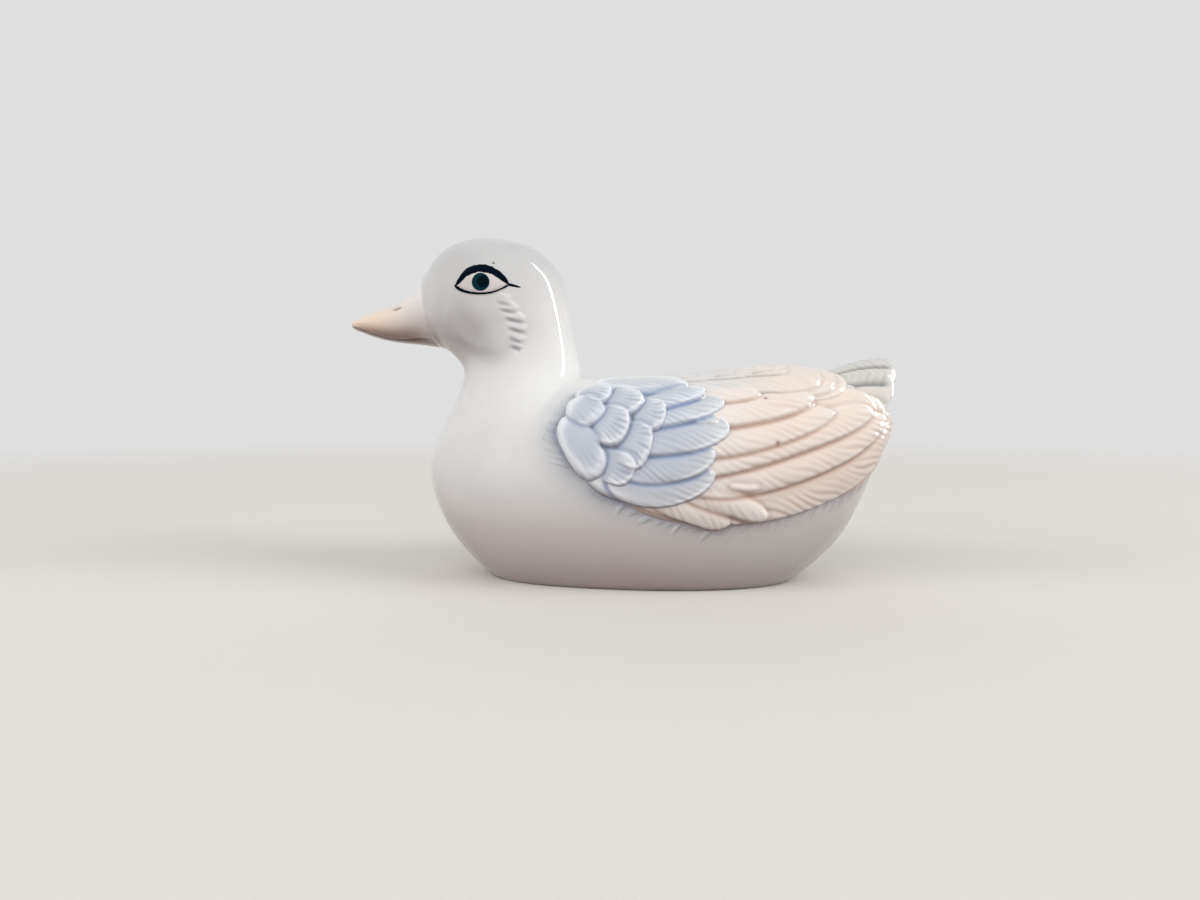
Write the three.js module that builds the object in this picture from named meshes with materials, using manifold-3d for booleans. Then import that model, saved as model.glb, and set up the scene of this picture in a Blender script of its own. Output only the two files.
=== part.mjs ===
import * as THREE from 'three';
import { mergeVertices } from 'three/addons/utils/BufferGeometryUtils.js';
import Module from 'manifold-3d';

// Porcelain duck figurine, slip cast and glazed. Millimetres, bill toward -X, tail toward +X, up +Z,
// origin in the middle of the duck's length on the table. The duck's own left is -Y.

const wasm = await Module();
wasm.setup();

// Driving dimensions. LENGTH runs from the bill's tip to the tail's, WIDTH is the body's without its
// wings, and HEIGHT is to the top of the head.
const LENGTH = 140;
const WIDTH = 60.6;
const HEIGHT = 86.6;
const WALL = 3.2;
const GAP = 0.3;
const VENT_DIAMETER = 8;
const VENT_X = 6;
const VENT_SIDES = 24;
const SEAM_STATION = 18;

// Lines of the hull, from the rump round to the crown. Each station is an oval whose two ends lie on
// the duck's middle plane: back is its end on the spine and front its end on the keel, breast and face.
// half is half its width, and high shifts its widest point from its middle toward the back end.
const STATIONS = [
  { back: [68.6, 40.2], front: [68.6, 39.8], half: 0.3, high: 0 },
  { back: [67.8, 46.4], front: [66.6, 33.0], half: 8, high: 0 },
  { back: [64.5, 49.2], front: [62.6, 23.0], half: 14, high: 0 },
  { back: [58.5, 50.5], front: [57.6, 11.2], half: 18.2, high: 0.05 },
  { back: [51, 51], front: [50.2, 3.8], half: 22, high: 0.08 },
  { back: [42, 51.3], front: [42, -2.6], half: 25.6, high: 0.1 },
  { back: [32, 51.5], front: [32, -7.5], half: 28.3, high: 0.1 },
  { back: [21, 51.4], front: [21, -10.3], half: 29.9, high: 0.1 },
  { back: [10, 51.2], front: [10, -11.2], half: 30.3, high: 0.1 },
  { back: [0, 51], front: [-1, -11], half: 29.8, high: 0.1 },
  { back: [-6, 50.9], front: [-12, -9.6], half: 29, high: 0.1 },
  { back: [-8, 51], front: [-23, -6.5], half: 28.2, high: 0.08 },
  { back: [-8.6, 51.3], front: [-33.2, 0.2], half: 26.8, high: 0.05 },
  { back: [-8.8, 51.8], front: [-42.2, 9.4], half: 24.6, high: 0 },
  { back: [-8.9, 52.5], front: [-47.2, 19.2], half: 22, high: 0 },
  { back: [-9.1, 53.6], front: [-48.9, 28], half: 19.4, high: 0 },
  { back: [-9.5, 55.4], front: [-45.8, 36.5], half: 17, high: 0 },
  { back: [-10.1, 57.8], front: [-42.2, 43], half: 14.9, high: 0 },
  { back: [-10.8, 60.8], front: [-39.6, 48.6], half: 13.6, high: 0 },
  { back: [-11.3, 64], front: [-39, 53], half: 13.2, high: 0 },
  { back: [-11.8, 67.2], front: [-41.6, 56.4], half: 14, high: 0 },
  { back: [-12.3, 70.6], front: [-46.2, 59.8], half: 15.4, high: 0 },
  { back: [-12.9, 74], front: [-49.4, 64], half: 16.6, high: 0 },
  { back: [-14.2, 77.6], front: [-50.8, 69.6], half: 17, high: 0 },
  { back: [-17, 81.4], front: [-50, 76], half: 16.2, high: 0 },
  { back: [-21.2, 84.6], front: [-46.8, 81.8], half: 13.6, high: 0 },
  { back: [-26.8, 86.1], front: [-41, 85.5], half: 9, high: 0 },
  { back: [-33.8, 86.6], front: [-34.2, 86.6], half: 0.3, high: 0 },
];
const HULL_RINGS = 52;
const HULL_SIDES = 32;

// Lines of the bill: x along it, its top and bottom heights and half its width
const BILL = [
  { x: -70, top: 65, bottom: 64.4, half: 0.3 },
  { x: -69.3, top: 65.9, bottom: 63.7, half: 3.6 },
  { x: -67.3, top: 66.9, bottom: 62.8, half: 5.4 },
  { x: -64.2, top: 68.1, bottom: 61.6, half: 6.3 },
  { x: -60.5, top: 69.1, bottom: 60.6, half: 6.6 },
  { x: -56.5, top: 70.4, bottom: 60, half: 6.8 },
  { x: -53, top: 73, bottom: 59.7, half: 7.4 },
  { x: -49, top: 76.6, bottom: 59.2, half: 8.2 },
  { x: -45, top: 78.6, bottom: 58.5, half: 8.6 },
];
const BILL_RINGS = 14;
const BILL_SIDES = 20;

// Feathers, each a leaf-shaped plate on the hull. root, bend and tip are places on it, as a station
// number and the degrees round from the spine. up and down are the leaf's widths on its two sides,
// toward the spine and toward the foot, and rise is its thickness, which grows from rootRise where
// that is given.
const FLIGHT_FEATHERS = [
  { root: [8.6, 84], bend: [5.2, 86], tip: [1.2, 76], up: 15, down: 11, rise: 1.1 },
  { root: [7, 58], bend: [4.5, 50], tip: [1.8, 50], up: 7, down: 9, rise: 1.3 },
  { root: [8.6, 86], bend: [4.4, 114], tip: [0.8, 80], up: 4.6, down: 4.6, rise: 1.7 },
  { root: [7.9, 90], bend: [7, 96], tip: [6.3, 104.5], up: 3.3, down: 3, rise: 1.9 },
  { root: [7.3, 88], bend: [6.3, 94], tip: [5.5, 105], up: 2.6, down: 2.4, rise: 2.1 },
  { root: [7.3, 86.5], bend: [5.1, 92.8], tip: [1.7, 72.4], up: 3.8, down: 2.8, rise: 1.9 },
  { root: [7.3, 81], bend: [5.3, 76], tip: [2.4, 61], up: 4.2, down: 2.6, rise: 2.1 },
  { root: [7.3, 70], bend: [6, 73], tip: [3.8, 58], up: 4.4, down: 2.7, rise: 2.2 },
  { root: [7.3, 54.5], bend: [5.9, 58], tip: [4.3, 45], up: 4.4, down: 3.3, rise: 2.3 },
  { root: [7.4, 41], bend: [6.3, 44], tip: [5.6, 39.2], up: 3, down: 2.8, rise: 2.4 },
];
const SECONDARY_COVERTS = [
  { root: [9.2, 60], bend: [8, 64], tip: [6.9, 62], up: 13, down: 13, rise: 1.8 },
  { root: [8.8, 83], bend: [7.8, 94], tip: [6.6, 81.5], up: 4.4, down: 3.4, rise: 2.2 },
  { root: [8.7, 77.5], bend: [7.5, 82], tip: [6.6, 73.3], up: 4.5, down: 3.1, rise: 2.4 },
  { root: [8.5, 67.5], bend: [7.2, 67.7], tip: [6.3, 61.3], up: 4.5, down: 3.4, rise: 2.6 },
  { root: [8.3, 57.5], bend: [7.2, 54], tip: [6.4, 48], up: 3.4, down: 2.8, rise: 2.7 },
  { root: [8.3, 50], bend: [7.4, 42.7], tip: [6.8, 39.3], up: 3.2, down: 3, rise: 2.8 },
];
const SMALL_COVERTS = [
  { root: [10.6, 46], bend: [9.5, 60], tip: [8.2, 64], up: 9.5, down: 9.5, rise: 2 },
  { root: [8.6, 48], bend: [7.9, 54.5], tip: [7.6, 56], up: 4.2, down: 4.2, rise: 2.9 },
  { root: [8.9, 62], bend: [8.2, 70], tip: [7.9, 72.2], up: 5.3, down: 5, rise: 3 },
  { root: [9.3, 74], bend: [8.6, 77], tip: [8.2, 79.7], up: 3.2, down: 4.2, rise: 2.9 },
  { root: [9.3, 38], bend: [8.5, 44.5], tip: [8.1, 47.8], up: 3.4, down: 4.6, rise: 3 },
  { root: [9.6, 54], bend: [8.8, 60], tip: [8.4, 63.3], up: 5, down: 4.5, rise: 3.1 },
  { root: [10.3, 36], bend: [9.2, 41], tip: [8.9, 42.5], up: 3.4, down: 3.6, rise: 3.1 },
  { root: [10.2, 57], bend: [9.4, 73.5], tip: [9, 82], up: 4.6, down: 3.8, rise: 3 },
  { root: [10.5, 46], bend: [9.5, 51.3], tip: [9.1, 56.4], up: 3.8, down: 3.8, rise: 3.1 },
];
const MANTLE_MIDDLE = [
  { root: [10.2, 0], bend: [6.5, 0], tip: [3.6, 0], up: 7, down: 7, rise: 1.5, rootRise: 0 },
];
const MANTLE_SIDE = [
  { root: [10, 16], bend: [6.2, 14], tip: [3.3, 32], up: 7.5, down: 7.5, rise: 1.7, rootRise: 0 },
  { root: [10, 17], bend: [6.4, 14], tip: [3.7, 30], up: 7, down: 7, rise: 2, rootRise: 0 },
  { root: [10, 18], bend: [6.6, 15], tip: [4.1, 28], up: 6.4, down: 6.4, rise: 2.3, rootRise: 0 },
];
const LONG_STEPS = 9;
const SHORT_STEPS = 8;
const STRIP_WIDTH = 6;
const PLATE_SINK = 1.2;
const WIDEST = 0.55;
const CROWN = 0.35;

// The tail, an arched fan of feathers, which is let into the spine at a station by TAIL_SEAT
const TAIL_STATION = 4.25;
const TAIL_SEAT = 1.4;
const TAIL_LIFT = 5.4;
const TAIL_ROOT_HALF = 7.5;
const TAIL_TIP_HALF = 10.5;
const TAIL_DROOP = 7.5;
const TAIL_THICKNESS = 4;
const TAIL_STEPS = 9;
const TAIL_ACROSS = 20;
const TAIL_SCALLOP = 1.3;
const TAIL_SWEEP = 3;
const TAIL_LOBES = 5;

// Each eye is an almond that stands on the cheek
const EYE_PLACE = [22.85, 86];
const EYE_LENGTH = 13.2;
const EYE_HEIGHT = 7;
const EYE_RISE = 1;
const EYE_TILT = 1;
const EYE_SIDES = 18;

// Uniform cubic B-spline through a list of equally long rows, which starts and ends at its end rows
function blend(rows, place) {
  const last = rows.length - 1;
  const i = Math.min(Math.floor(place), last - 1);
  const t = place - i;
  const row = (k) => (k < 0 ? extend(rows[0], rows[1]) : k > last ? extend(rows[last], rows[last - 1]) : rows[k]);
  const weights = [(1 - t) ** 3, 3 * t ** 3 - 6 * t ** 2 + 4, -3 * t ** 3 + 3 * t ** 2 + 3 * t + 1, t ** 3];
  return rows[0].map((_, column) =>
    weights.reduce((sum, weight, k) => sum + (weight * row(i - 1 + k)[column]) / 6, 0));
}

function extend(end, next) {
  return end.map((value, column) => 2 * value - next[column]);
}

// The lines of hull and bill are drawn at one size, and stretched to the driving dimensions
const LONG = LENGTH / (-2 * BILL[0].x);
const WIDE = WIDTH / (2 * Math.max(...STATIONS.map(({ half }) => half)));
const TALL = HEIGHT / STATIONS[STATIONS.length - 1].back[1];
const HULL_ROWS = STATIONS.map(({ back, front, half, high }) =>
  [back[0] * LONG, back[1] * TALL, front[0] * LONG, front[1] * TALL, half * WIDE, high]);
const LAST_STATION = STATIONS.length - 1;

// The place on the hull at a station and an angle from the spine
function hullPoint(station, degrees) {
  const [backX, backZ, frontX, frontZ, half, high] = blend(HULL_ROWS, station);
  const angle = THREE.MathUtils.degToRad(degrees);
  const along = Math.cos(angle) + high * Math.sin(angle) ** 2;
  return new THREE.Vector3(
    (backX + frontX) / 2 + ((backX - frontX) / 2) * along,
    -half * Math.sin(angle),
    (backZ + frontZ) / 2 + ((backZ - frontZ) / 2) * along,
  );
}

// The hull's two directions and its outward normal there
function hullFrame(station, degrees) {
  const step = 0.02;
  const at = THREE.MathUtils.clamp(station, step, LAST_STATION - step);
  const onward = hullPoint(at + step, degrees).sub(hullPoint(at - step, degrees)).divideScalar(2 * step);
  const round = hullPoint(at, degrees + 1).sub(hullPoint(at, degrees - 1)).divideScalar(2);
  const normal = new THREE.Vector3().crossVectors(onward, round).normalize();
  return { onward, round, normal };
}

function raised(station, degrees, rise) {
  return hullPoint(station, degrees).addScaledVector(hullFrame(station, degrees).normal, rise);
}

// A closed solid on rings of equally many points. Each end is closed by a strip between the two halves
// of its ring, which suits an arched ring as well as a round one.
function skin(rings) {
  const sides = rings[0].length;
  const points = rings.flat();
  const triangles = [];
  const corner = (ring, side) => ring * sides + (side % sides);
  for (let ring = 0; ring < rings.length - 1; ring += 1) {
    for (let side = 0; side < sides; side += 1) {
      const a = corner(ring, side);
      const b = corner(ring, side + 1);
      const c = corner(ring + 1, side + 1);
      const d = corner(ring + 1, side);
      triangles.push([a, b, c], [a, c, d]);
    }
  }
  const close = (ring, ...places) => {
    const triangle = places.map((side) => corner(ring, side));
    triangles.push(ring === 0 ? triangle.reverse() : triangle);
  };
  for (const ring of [0, rings.length - 1]) {
    for (let near = 0, far = sides - 1; far - near > 1; near += 1, far -= 1) {
      close(ring, near, near + 1, far);
      if (far - near > 2) {
        close(ring, near + 1, far - 1, far);
      }
    }
  }
  return solid(points, triangles);
}

function solid(points, triangles) {
  const volume = triangles.reduce((sum, [a, b, c]) =>
    sum + points[a].dot(new THREE.Vector3().crossVectors(points[b], points[c])), 0);
  const order = volume < 0 ? triangles.map(([a, b, c]) => [a, c, b]) : triangles;
  return new wasm.Manifold(new wasm.Mesh({
    numProp: 3,
    vertProperties: new Float32Array(points.flatMap((point) => point.toArray())),
    triVerts: new Uint32Array(order.flat()),
  }));
}

// A three.js geometry as a solid
function solidOf(geometry) {
  geometry.deleteAttribute('normal');
  geometry.deleteAttribute('uv');
  const merged = mergeVertices(geometry);
  return new wasm.Manifold(new wasm.Mesh({
    numProp: 3,
    vertProperties: new Float32Array(merged.attributes.position.array),
    triVerts: new Uint32Array(merged.index.array),
  }));
}

function steps(count) {
  return Array.from({ length: count + 1 }, (_, i) => i / count);
}

// The whole outer form from rump to crown, grown by a clearance, or drawn in by a wall
function hull(rise = 0, rings = HULL_RINGS, sides = HULL_SIDES) {
  return skin(steps(rings).map((share) =>
    steps(sides).slice(0, sides).map((turn) => raised(share * LAST_STATION, turn * 360, rise))));
}

// Width of one side of a leaf at a share of its length, as a share of its widest
function leafWidth(share) {
  const side = share < WIDEST ? WIDEST : 1 - WIDEST;
  return Math.sqrt(Math.max(0, 1 - Math.abs((share - WIDEST) / side) ** 3));
}

// A leaf-shaped plate on the hull, crowned along its spine. With grow it is larger all round.
function plate({ root, bend, tip, up, down, rise, rootRise = rise }, count, grow = 0) {
  const at = (t, k) => (1 - t) ** 2 * root[k] + 2 * t * (1 - t) * bend[k] + t ** 2 * tip[k];
  const slope = (t, k) => 2 * (1 - t) * (bend[k] - root[k]) + 2 * t * (tip[k] - bend[k]);
  const strips = Math.ceil(Math.max(up, down) / STRIP_WIDTH);
  return skin(steps(count).map((turn) => {
    const share = (1 - Math.cos(turn * Math.PI)) / 2;
    const station = at(share, 0);
    const degrees = at(share, 1);
    const { onward, round, normal } = hullFrame(station, degrees);
    const along = onward.clone().multiplyScalar(slope(share, 0)).addScaledVector(round, slope(share, 1));
    const across = new THREE.Vector3().crossVectors(normal, along).normalize();
    const end = (share - WIDEST) * 2 * grow / along.length();
    const uu = onward.dot(onward);
    const ur = onward.dot(round);
    const rr = round.dot(round);
    const au = across.dot(onward);
    const ar = across.dot(round);
    const area = uu * rr - ur * ur;
    const stationStep = (au * rr - ar * ur) / area;
    const degreeStep = (ar * uu - au * ur) / area;
    const place = (side, lift) => raised(
      station + side * stationStep + end * slope(share, 0),
      degrees + side * degreeStep + end * slope(share, 1),
      lift,
    );
    const toSpine = Math.max(0.3, leafWidth(share) * up) + grow;
    const toFoot = Math.max(0.3, leafWidth(share) * down) + grow;
    const height = THREE.MathUtils.lerp(rootRise, rise, Math.min(1, 2 * share));
    const top = steps(2 * strips).map((part) => {
      const side = 2 * part - 1;
      return place(side * (side < 0 ? toFoot : toSpine), height * (1 - CROWN * side ** 2) + grow);
    });
    return [place(-toFoot, -PLATE_SINK), ...top, place(toSpine, -PLATE_SINK)];
  }));
}

function layer(feathers, count, grow) {
  return wasm.Manifold.union(feathers.map((feather) => plate(feather, count, grow)));
}

function mirror(shape) {
  return shape.mirror([0, 1, 0]);
}

// The biggest single body that a cut leaves
function largest(shape) {
  return shape.decompose().reduce((best, body) => (body.volume() > best.volume() ? body : best));
}

// The plane of the neck seam, square to the middle plane through one station's two ends
function seam() {
  const [backX, backZ, frontX, frontZ] = blend(HULL_ROWS, SEAM_STATION);
  const normal = new THREE.Vector3(-(backZ - frontZ), 0, backX - frontX).normalize();
  return { normal: normal.toArray(), offset: normal.dot(new THREE.Vector3(backX, 0, backZ)) };
}

function bill() {
  const rows = BILL.map(({ x, top, bottom, half }) => [x * LONG, top * TALL, bottom * TALL, half * WIDE]);
  return skin(steps(BILL_RINGS).map((share) => {
    const [x, top, bottom, half] = blend(rows, share * (rows.length - 1));
    return steps(BILL_SIDES).slice(0, BILL_SIDES).map((turn) => {
      const angle = turn * 2 * Math.PI;
      const height = (top + bottom) / 2 + ((top - bottom) / 2) * Math.cos(angle);
      return new THREE.Vector3(x, -half * Math.sin(angle), height);
    });
  }));
}

// The tail's rings run from its root to its tip, where the feathers' round ends scallop its edge
function tail() {
  const [rootX, rootZ] = blend(HULL_ROWS, TAIL_STATION);
  return skin(steps(TAIL_STEPS).map((share) => {
    const half = THREE.MathUtils.lerp(TAIL_ROOT_HALF, TAIL_TIP_HALF, share ** 0.6);
    const rise = Math.sin((share * Math.PI) / 2 * 1.15);
    const middle = rootZ - TAIL_SEAT + TAIL_LIFT * rise;
    const top = (side, drop) => {
      const lobe = Math.abs(Math.cos((side * Math.PI * TAIL_LOBES) / 2));
      const edge = LENGTH / 2 - TAIL_SCALLOP * (1 - lobe) - TAIL_SWEEP * side ** 2;
      return new THREE.Vector3(
        THREE.MathUtils.lerp(rootX, edge, share),
        half * side,
        middle - TAIL_DROOP * side ** 2 * (0.35 + 0.65 * share) - drop,
      );
    };
    const thick = THREE.MathUtils.lerp(TAIL_THICKNESS, TAIL_THICKNESS * 0.6, share);
    const upper = steps(TAIL_ACROSS).map((turn) => top(2 * turn - 1, 0));
    const lower = steps(TAIL_ACROSS).map((turn) => top(1 - 2 * turn, thick));
    return [...upper, ...lower];
  }));
}

// The eye's almond, a dome whose outline is two arcs that meet in a corner at each end
function eye() {
  const { onward, round, normal } = hullFrame(...EYE_PLACE);
  const forward = new THREE.Vector3(-1, 0, 0).addScaledVector(normal, normal.x).normalize();
  const up = new THREE.Vector3().crossVectors(normal, forward).normalize();
  forward.applyAxisAngle(normal, THREE.MathUtils.degToRad(EYE_TILT));
  up.applyAxisAngle(normal, THREE.MathUtils.degToRad(EYE_TILT));
  const uu = onward.dot(onward);
  const ur = onward.dot(round);
  const rr = round.dot(round);
  const place = (x, z, height) => {
    const offset = forward.clone().multiplyScalar(x).addScaledVector(up, z);
    const a = offset.dot(onward);
    const b = offset.dot(round);
    const share = 1 / (uu * rr - ur * ur);
    return raised(EYE_PLACE[0] + (a * rr - b * ur) * share, EYE_PLACE[1] + (b * uu - a * ur) * share, height);
  };
  const ring = (size, height) => steps(EYE_SIDES).slice(0, EYE_SIDES).map((turn) => {
    const angle = turn * 2 * Math.PI;
    const x = Math.cos(angle);
    const z = Math.sign(Math.sin(angle)) * (1 - x * x) * 0.5;
    return place((x * size * EYE_LENGTH) / 2, z * size * EYE_HEIGHT, height);
  });
  return skin([ring(1, -PLATE_SINK), ring(1, EYE_RISE * 0.5), ring(0.6, EYE_RISE)]);
}

// Cuts, in the order in which the feathers lie on each other
const clearHull = hull(GAP);
const flight = (grow) => layer(FLIGHT_FEATHERS, LONG_STEPS, grow);
const secondary = (grow) => layer(SECONDARY_COVERTS, SHORT_STEPS, grow);
const small = (grow) => layer(SMALL_COVERTS, SHORT_STEPS, grow);
const mantle = (grow) => {
  const side = layer(MANTLE_SIDE, LONG_STEPS, grow);
  return layer(MANTLE_MIDDLE, LONG_STEPS, grow).add(side).add(mirror(side));
};
const backMantle = largest(mantle(0).subtract(clearHull));
const smallCoverts = largest(small(0).subtract(clearHull).subtract(mantle(GAP)));
const secondaryCoverts = largest(
  secondary(0).subtract(clearHull).subtract(mantle(GAP)).subtract(small(GAP)),
);
const flightFeathers = largest(
  flight(0).subtract(clearHull).subtract(mantle(GAP)).subtract(small(GAP)).subtract(secondary(GAP)),
);
const clearFlight = flight(GAP);
const tailFan = largest(
  tail().subtract(clearHull).subtract(mantle(GAP)).subtract(clearFlight).subtract(mirror(clearFlight)),
);

const cavity = hull(-WALL, HULL_RINGS / 2, HULL_SIDES / 2);
const { normal: seamNormal, offset: seamOffset } = seam();
const below = seamNormal.map((value) => -value);
const form = hull().trimByPlane([0, 0, 1], 0);
const ventGeometry = new THREE.CylinderGeometry(VENT_DIAMETER / 2, VENT_DIAMETER / 2, 4 * WALL, VENT_SIDES);
ventGeometry.rotateX(Math.PI / 2);
ventGeometry.translate(VENT_X, 0, 0);
const bodyHollow = cavity.trimByPlane([0, 0, 1], WALL).add(solidOf(ventGeometry));
const bodyShell = largest(form.subtract(bodyHollow).trimByPlane(below, -(seamOffset - GAP / 2)));
const headShell = largest(form.subtract(cavity).trimByPlane(seamNormal, seamOffset + GAP / 2));
const billSolid = largest(bill().subtract(clearHull));
const eyeSolid = eye().subtract(clearHull);

const PORCELAIN = { color: 0xe4e1df, roughness: 0.16, metalness: 0 };
const BLUE = { color: 0xb4bfd0, roughness: 0.16, metalness: 0 };
const CREAM = { color: 0xe6dacd, roughness: 0.16, metalness: 0 };
const GREY = { color: 0xb9bab6, roughness: 0.16, metalness: 0 };
const PEACH = { color: 0xdcc8b8, roughness: 0.16, metalness: 0 };
const EYE = { color: 0x123240, roughness: 0.14, metalness: 0 };

const duck = new THREE.Group();

function add(name, shape, look) {
  const { vertProperties, triVerts, numProp } = shape.getMesh();
  const geometry = new THREE.BufferGeometry();
  const points = new Float32Array((vertProperties.length / numProp) * 3);
  for (let i = 0; i < points.length; i += 1) {
    points[i] = vertProperties[Math.floor(i / 3) * numProp + (i % 3)];
  }
  geometry.setAttribute('position', new THREE.BufferAttribute(points, 3));
  geometry.setIndex(new THREE.BufferAttribute(new Uint32Array(triVerts), 1));
  geometry.computeVertexNormals();
  const mesh = new THREE.Mesh(geometry, new THREE.MeshStandardMaterial(look));
  mesh.name = name;
  duck.add(mesh);
}

add('body_shell', bodyShell, PORCELAIN);
add('head_and_neck', headShell, PORCELAIN);
add('bill', billSolid, PEACH);
add('left_eye', eyeSolid, EYE);
add('right_eye', mirror(eyeSolid), EYE);
add('left_flight_feathers', flightFeathers, CREAM);
add('right_flight_feathers', mirror(flightFeathers), CREAM);
add('left_secondary_coverts', secondaryCoverts, BLUE);
add('right_secondary_coverts', mirror(secondaryCoverts), BLUE);
add('left_small_coverts', smallCoverts, BLUE);
add('right_small_coverts', mirror(smallCoverts), BLUE);
add('back_mantle', backMantle, CREAM);
add('tail_fan', tailFan, GREY);

export default duck;
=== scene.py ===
"""The looks of a slip-cast porcelain duck: glazed body, bill, painted eyes, relief feathers and tail.

Everything on the duck lies on one hull, a fan of ovals from the rump to the crown. A place on it is a
station along the fan and an angle in degrees round from the spine. Sizes are millimetres, and a mesh
gets them in metres. The duck's own left is toward -Y, and its right side is the mirror image.
"""
import logging
import math
from dataclasses import dataclass, replace
from enum import Enum

import bpy
import numpy as np
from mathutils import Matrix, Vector


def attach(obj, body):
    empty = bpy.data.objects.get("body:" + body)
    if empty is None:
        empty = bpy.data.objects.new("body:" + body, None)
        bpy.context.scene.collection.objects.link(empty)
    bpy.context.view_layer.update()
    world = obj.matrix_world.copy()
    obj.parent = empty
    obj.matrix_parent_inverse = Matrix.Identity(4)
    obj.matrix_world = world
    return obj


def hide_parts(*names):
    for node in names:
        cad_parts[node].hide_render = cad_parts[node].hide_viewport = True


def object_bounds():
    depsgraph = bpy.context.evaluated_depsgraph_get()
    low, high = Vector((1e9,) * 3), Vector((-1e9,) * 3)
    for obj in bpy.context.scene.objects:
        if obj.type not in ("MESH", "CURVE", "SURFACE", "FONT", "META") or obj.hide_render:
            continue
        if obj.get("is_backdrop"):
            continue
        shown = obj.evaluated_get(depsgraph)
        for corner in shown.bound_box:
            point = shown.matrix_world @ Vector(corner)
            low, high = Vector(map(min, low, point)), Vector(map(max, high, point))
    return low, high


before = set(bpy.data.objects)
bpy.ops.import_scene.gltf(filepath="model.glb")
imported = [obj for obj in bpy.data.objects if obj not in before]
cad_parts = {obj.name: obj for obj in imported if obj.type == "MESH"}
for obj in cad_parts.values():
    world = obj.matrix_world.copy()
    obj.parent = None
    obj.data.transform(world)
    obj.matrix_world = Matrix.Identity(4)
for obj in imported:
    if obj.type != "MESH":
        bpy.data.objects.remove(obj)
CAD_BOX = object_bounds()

LOG = logging.getLogger("duck")
MM = 0.001

# Frame: the far corner of the duck's overall box, in millimetres
BOX_HIGH = np.array(CAD_BOX[1]) / MM

# How far inside a feather a place without one counts, in mm
NOWHERE = -99.0

Array = np.ndarray
Place = tuple[float, float]


# Small formulas


def smoothstep(low: float, high: float, value: Array) -> Array:
    """Eased step: 0 below low, 1 above high, and 3t^2 - 2t^3 between."""
    t = np.clip((value - low) / (high - low), 0.0, 1.0)
    return t * t * (3.0 - 2.0 * t)


def window(value: Array, low: float, full: float, fade: float, high: float) -> Array:
    """Eased window: 0 up to low, 1 from full to fade, and 0 from high on."""
    return smoothstep(low, full, value) * smoothstep(high, fade, value)


def bump(value: Array) -> Array:
    """Gaussian bump, 1 at zero, exp(-value^2)."""
    return np.exp(-(value**2))


def lerp(start: Array, end: Array, share: Array) -> Array:
    """Straight blend from start to end."""
    return start + (end - start) * share


def unit(vectors: Array) -> Array:
    """The vectors at length 1."""
    return vectors / np.linalg.norm(vectors, axis=-1, keepdims=True)


def running(steps: Array) -> Array:
    """The running total of some steps, from 0."""
    return np.concatenate([[0], np.cumsum(steps)])


def even(places: Array, steps: Array, count: int) -> Array:
    """So many of the places, at even shares of the running total of the steps between them."""
    total = running(steps)
    return np.interp(np.linspace(0, total[-1], count), total, places)


def scatter(index: Array, seed: float) -> Array:
    """A repeatable random number from 0 to 1 for each whole number: the broken-off part of a steep sine."""
    return np.abs(np.modf(np.sin(index * 12.9898 + seed * 78.233) * 43758.5453)[0])


def waves(number: Array, seed: float, sharp: float) -> tuple[Array, Array]:
    """Numbered strokes: 1 in the middle of each and 0 between them, and a random number for each."""
    return (0.5 - 0.5 * np.cos(2 * np.pi * number)) ** sharp, scatter(np.floor(number), seed)


def soften(field: Array, cells: float) -> Array:
    """Gaussian blur of a grid.

    Args:
        field: Values on a grid.
        cells: The blur's standard deviation, in grid cells.

    Returns:
        The blurred grid, each axis convolved with exp(-k^2 / 2 cells^2) in turn.
    """
    reach = max(1, round(3 * cells))
    offsets = np.arange(-reach, reach + 1)
    weights = np.exp(-(offsets**2) / (2 * cells**2))
    weights /= weights.sum()
    for axis in (0, 1):
        padding = [(reach, reach) if axis == a else (0, 0) for a in (0, 1)]
        wide = np.pad(field, padding, mode="edge")
        size = field.shape[axis]
        field = sum(w * np.take(wide, range(k, k + size), axis) for k, w in enumerate(weights))
    return field


def spline(rows: Array, place: Array) -> Array:
    """Uniform cubic B-spline.

    Args:
        rows: Control rows, with one extra before the first and one after the last.
        place: Where to read it, 0 at the first real row.

    Returns:
        At each place, four neighbouring rows blended by the cubic basis.
    """
    place = np.asarray(place, float)
    i = np.clip(np.floor(place).astype(int), 0, len(rows) - 4)
    t = (place - i)[..., None]
    weights = ((1 - t) ** 3, 3 * t**3 - 6 * t**2 + 4, -3 * t**3 + 3 * t**2 + 3 * t + 1, t**3)
    return sum(weight * rows[i + k] for k, weight in enumerate(weights)) / 6


def with_pole(rows: Array, turned: tuple[int, ...], sign: tuple[int, ...]) -> Array:
    """Adds the row before the first of a loft, so that a spline through them starts in a smooth pole.

    Args:
        rows: The loft's ovals, one a row.
        turned: For each column, the one that it becomes when the oval is turned half round.
        sign: For each column, the sign that it then gets.

    Returns:
        The rows after the second one's oval turned half round, and with the first one set so that the
        spline starts in the first oval's middle.
    """
    before = rows[1, turned] * sign
    middle = (rows[0] + rows[0, turned] * sign) / 2
    return np.vstack([before, (6 * middle - rows[1] - before) / 4, rows[1:]])


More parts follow.
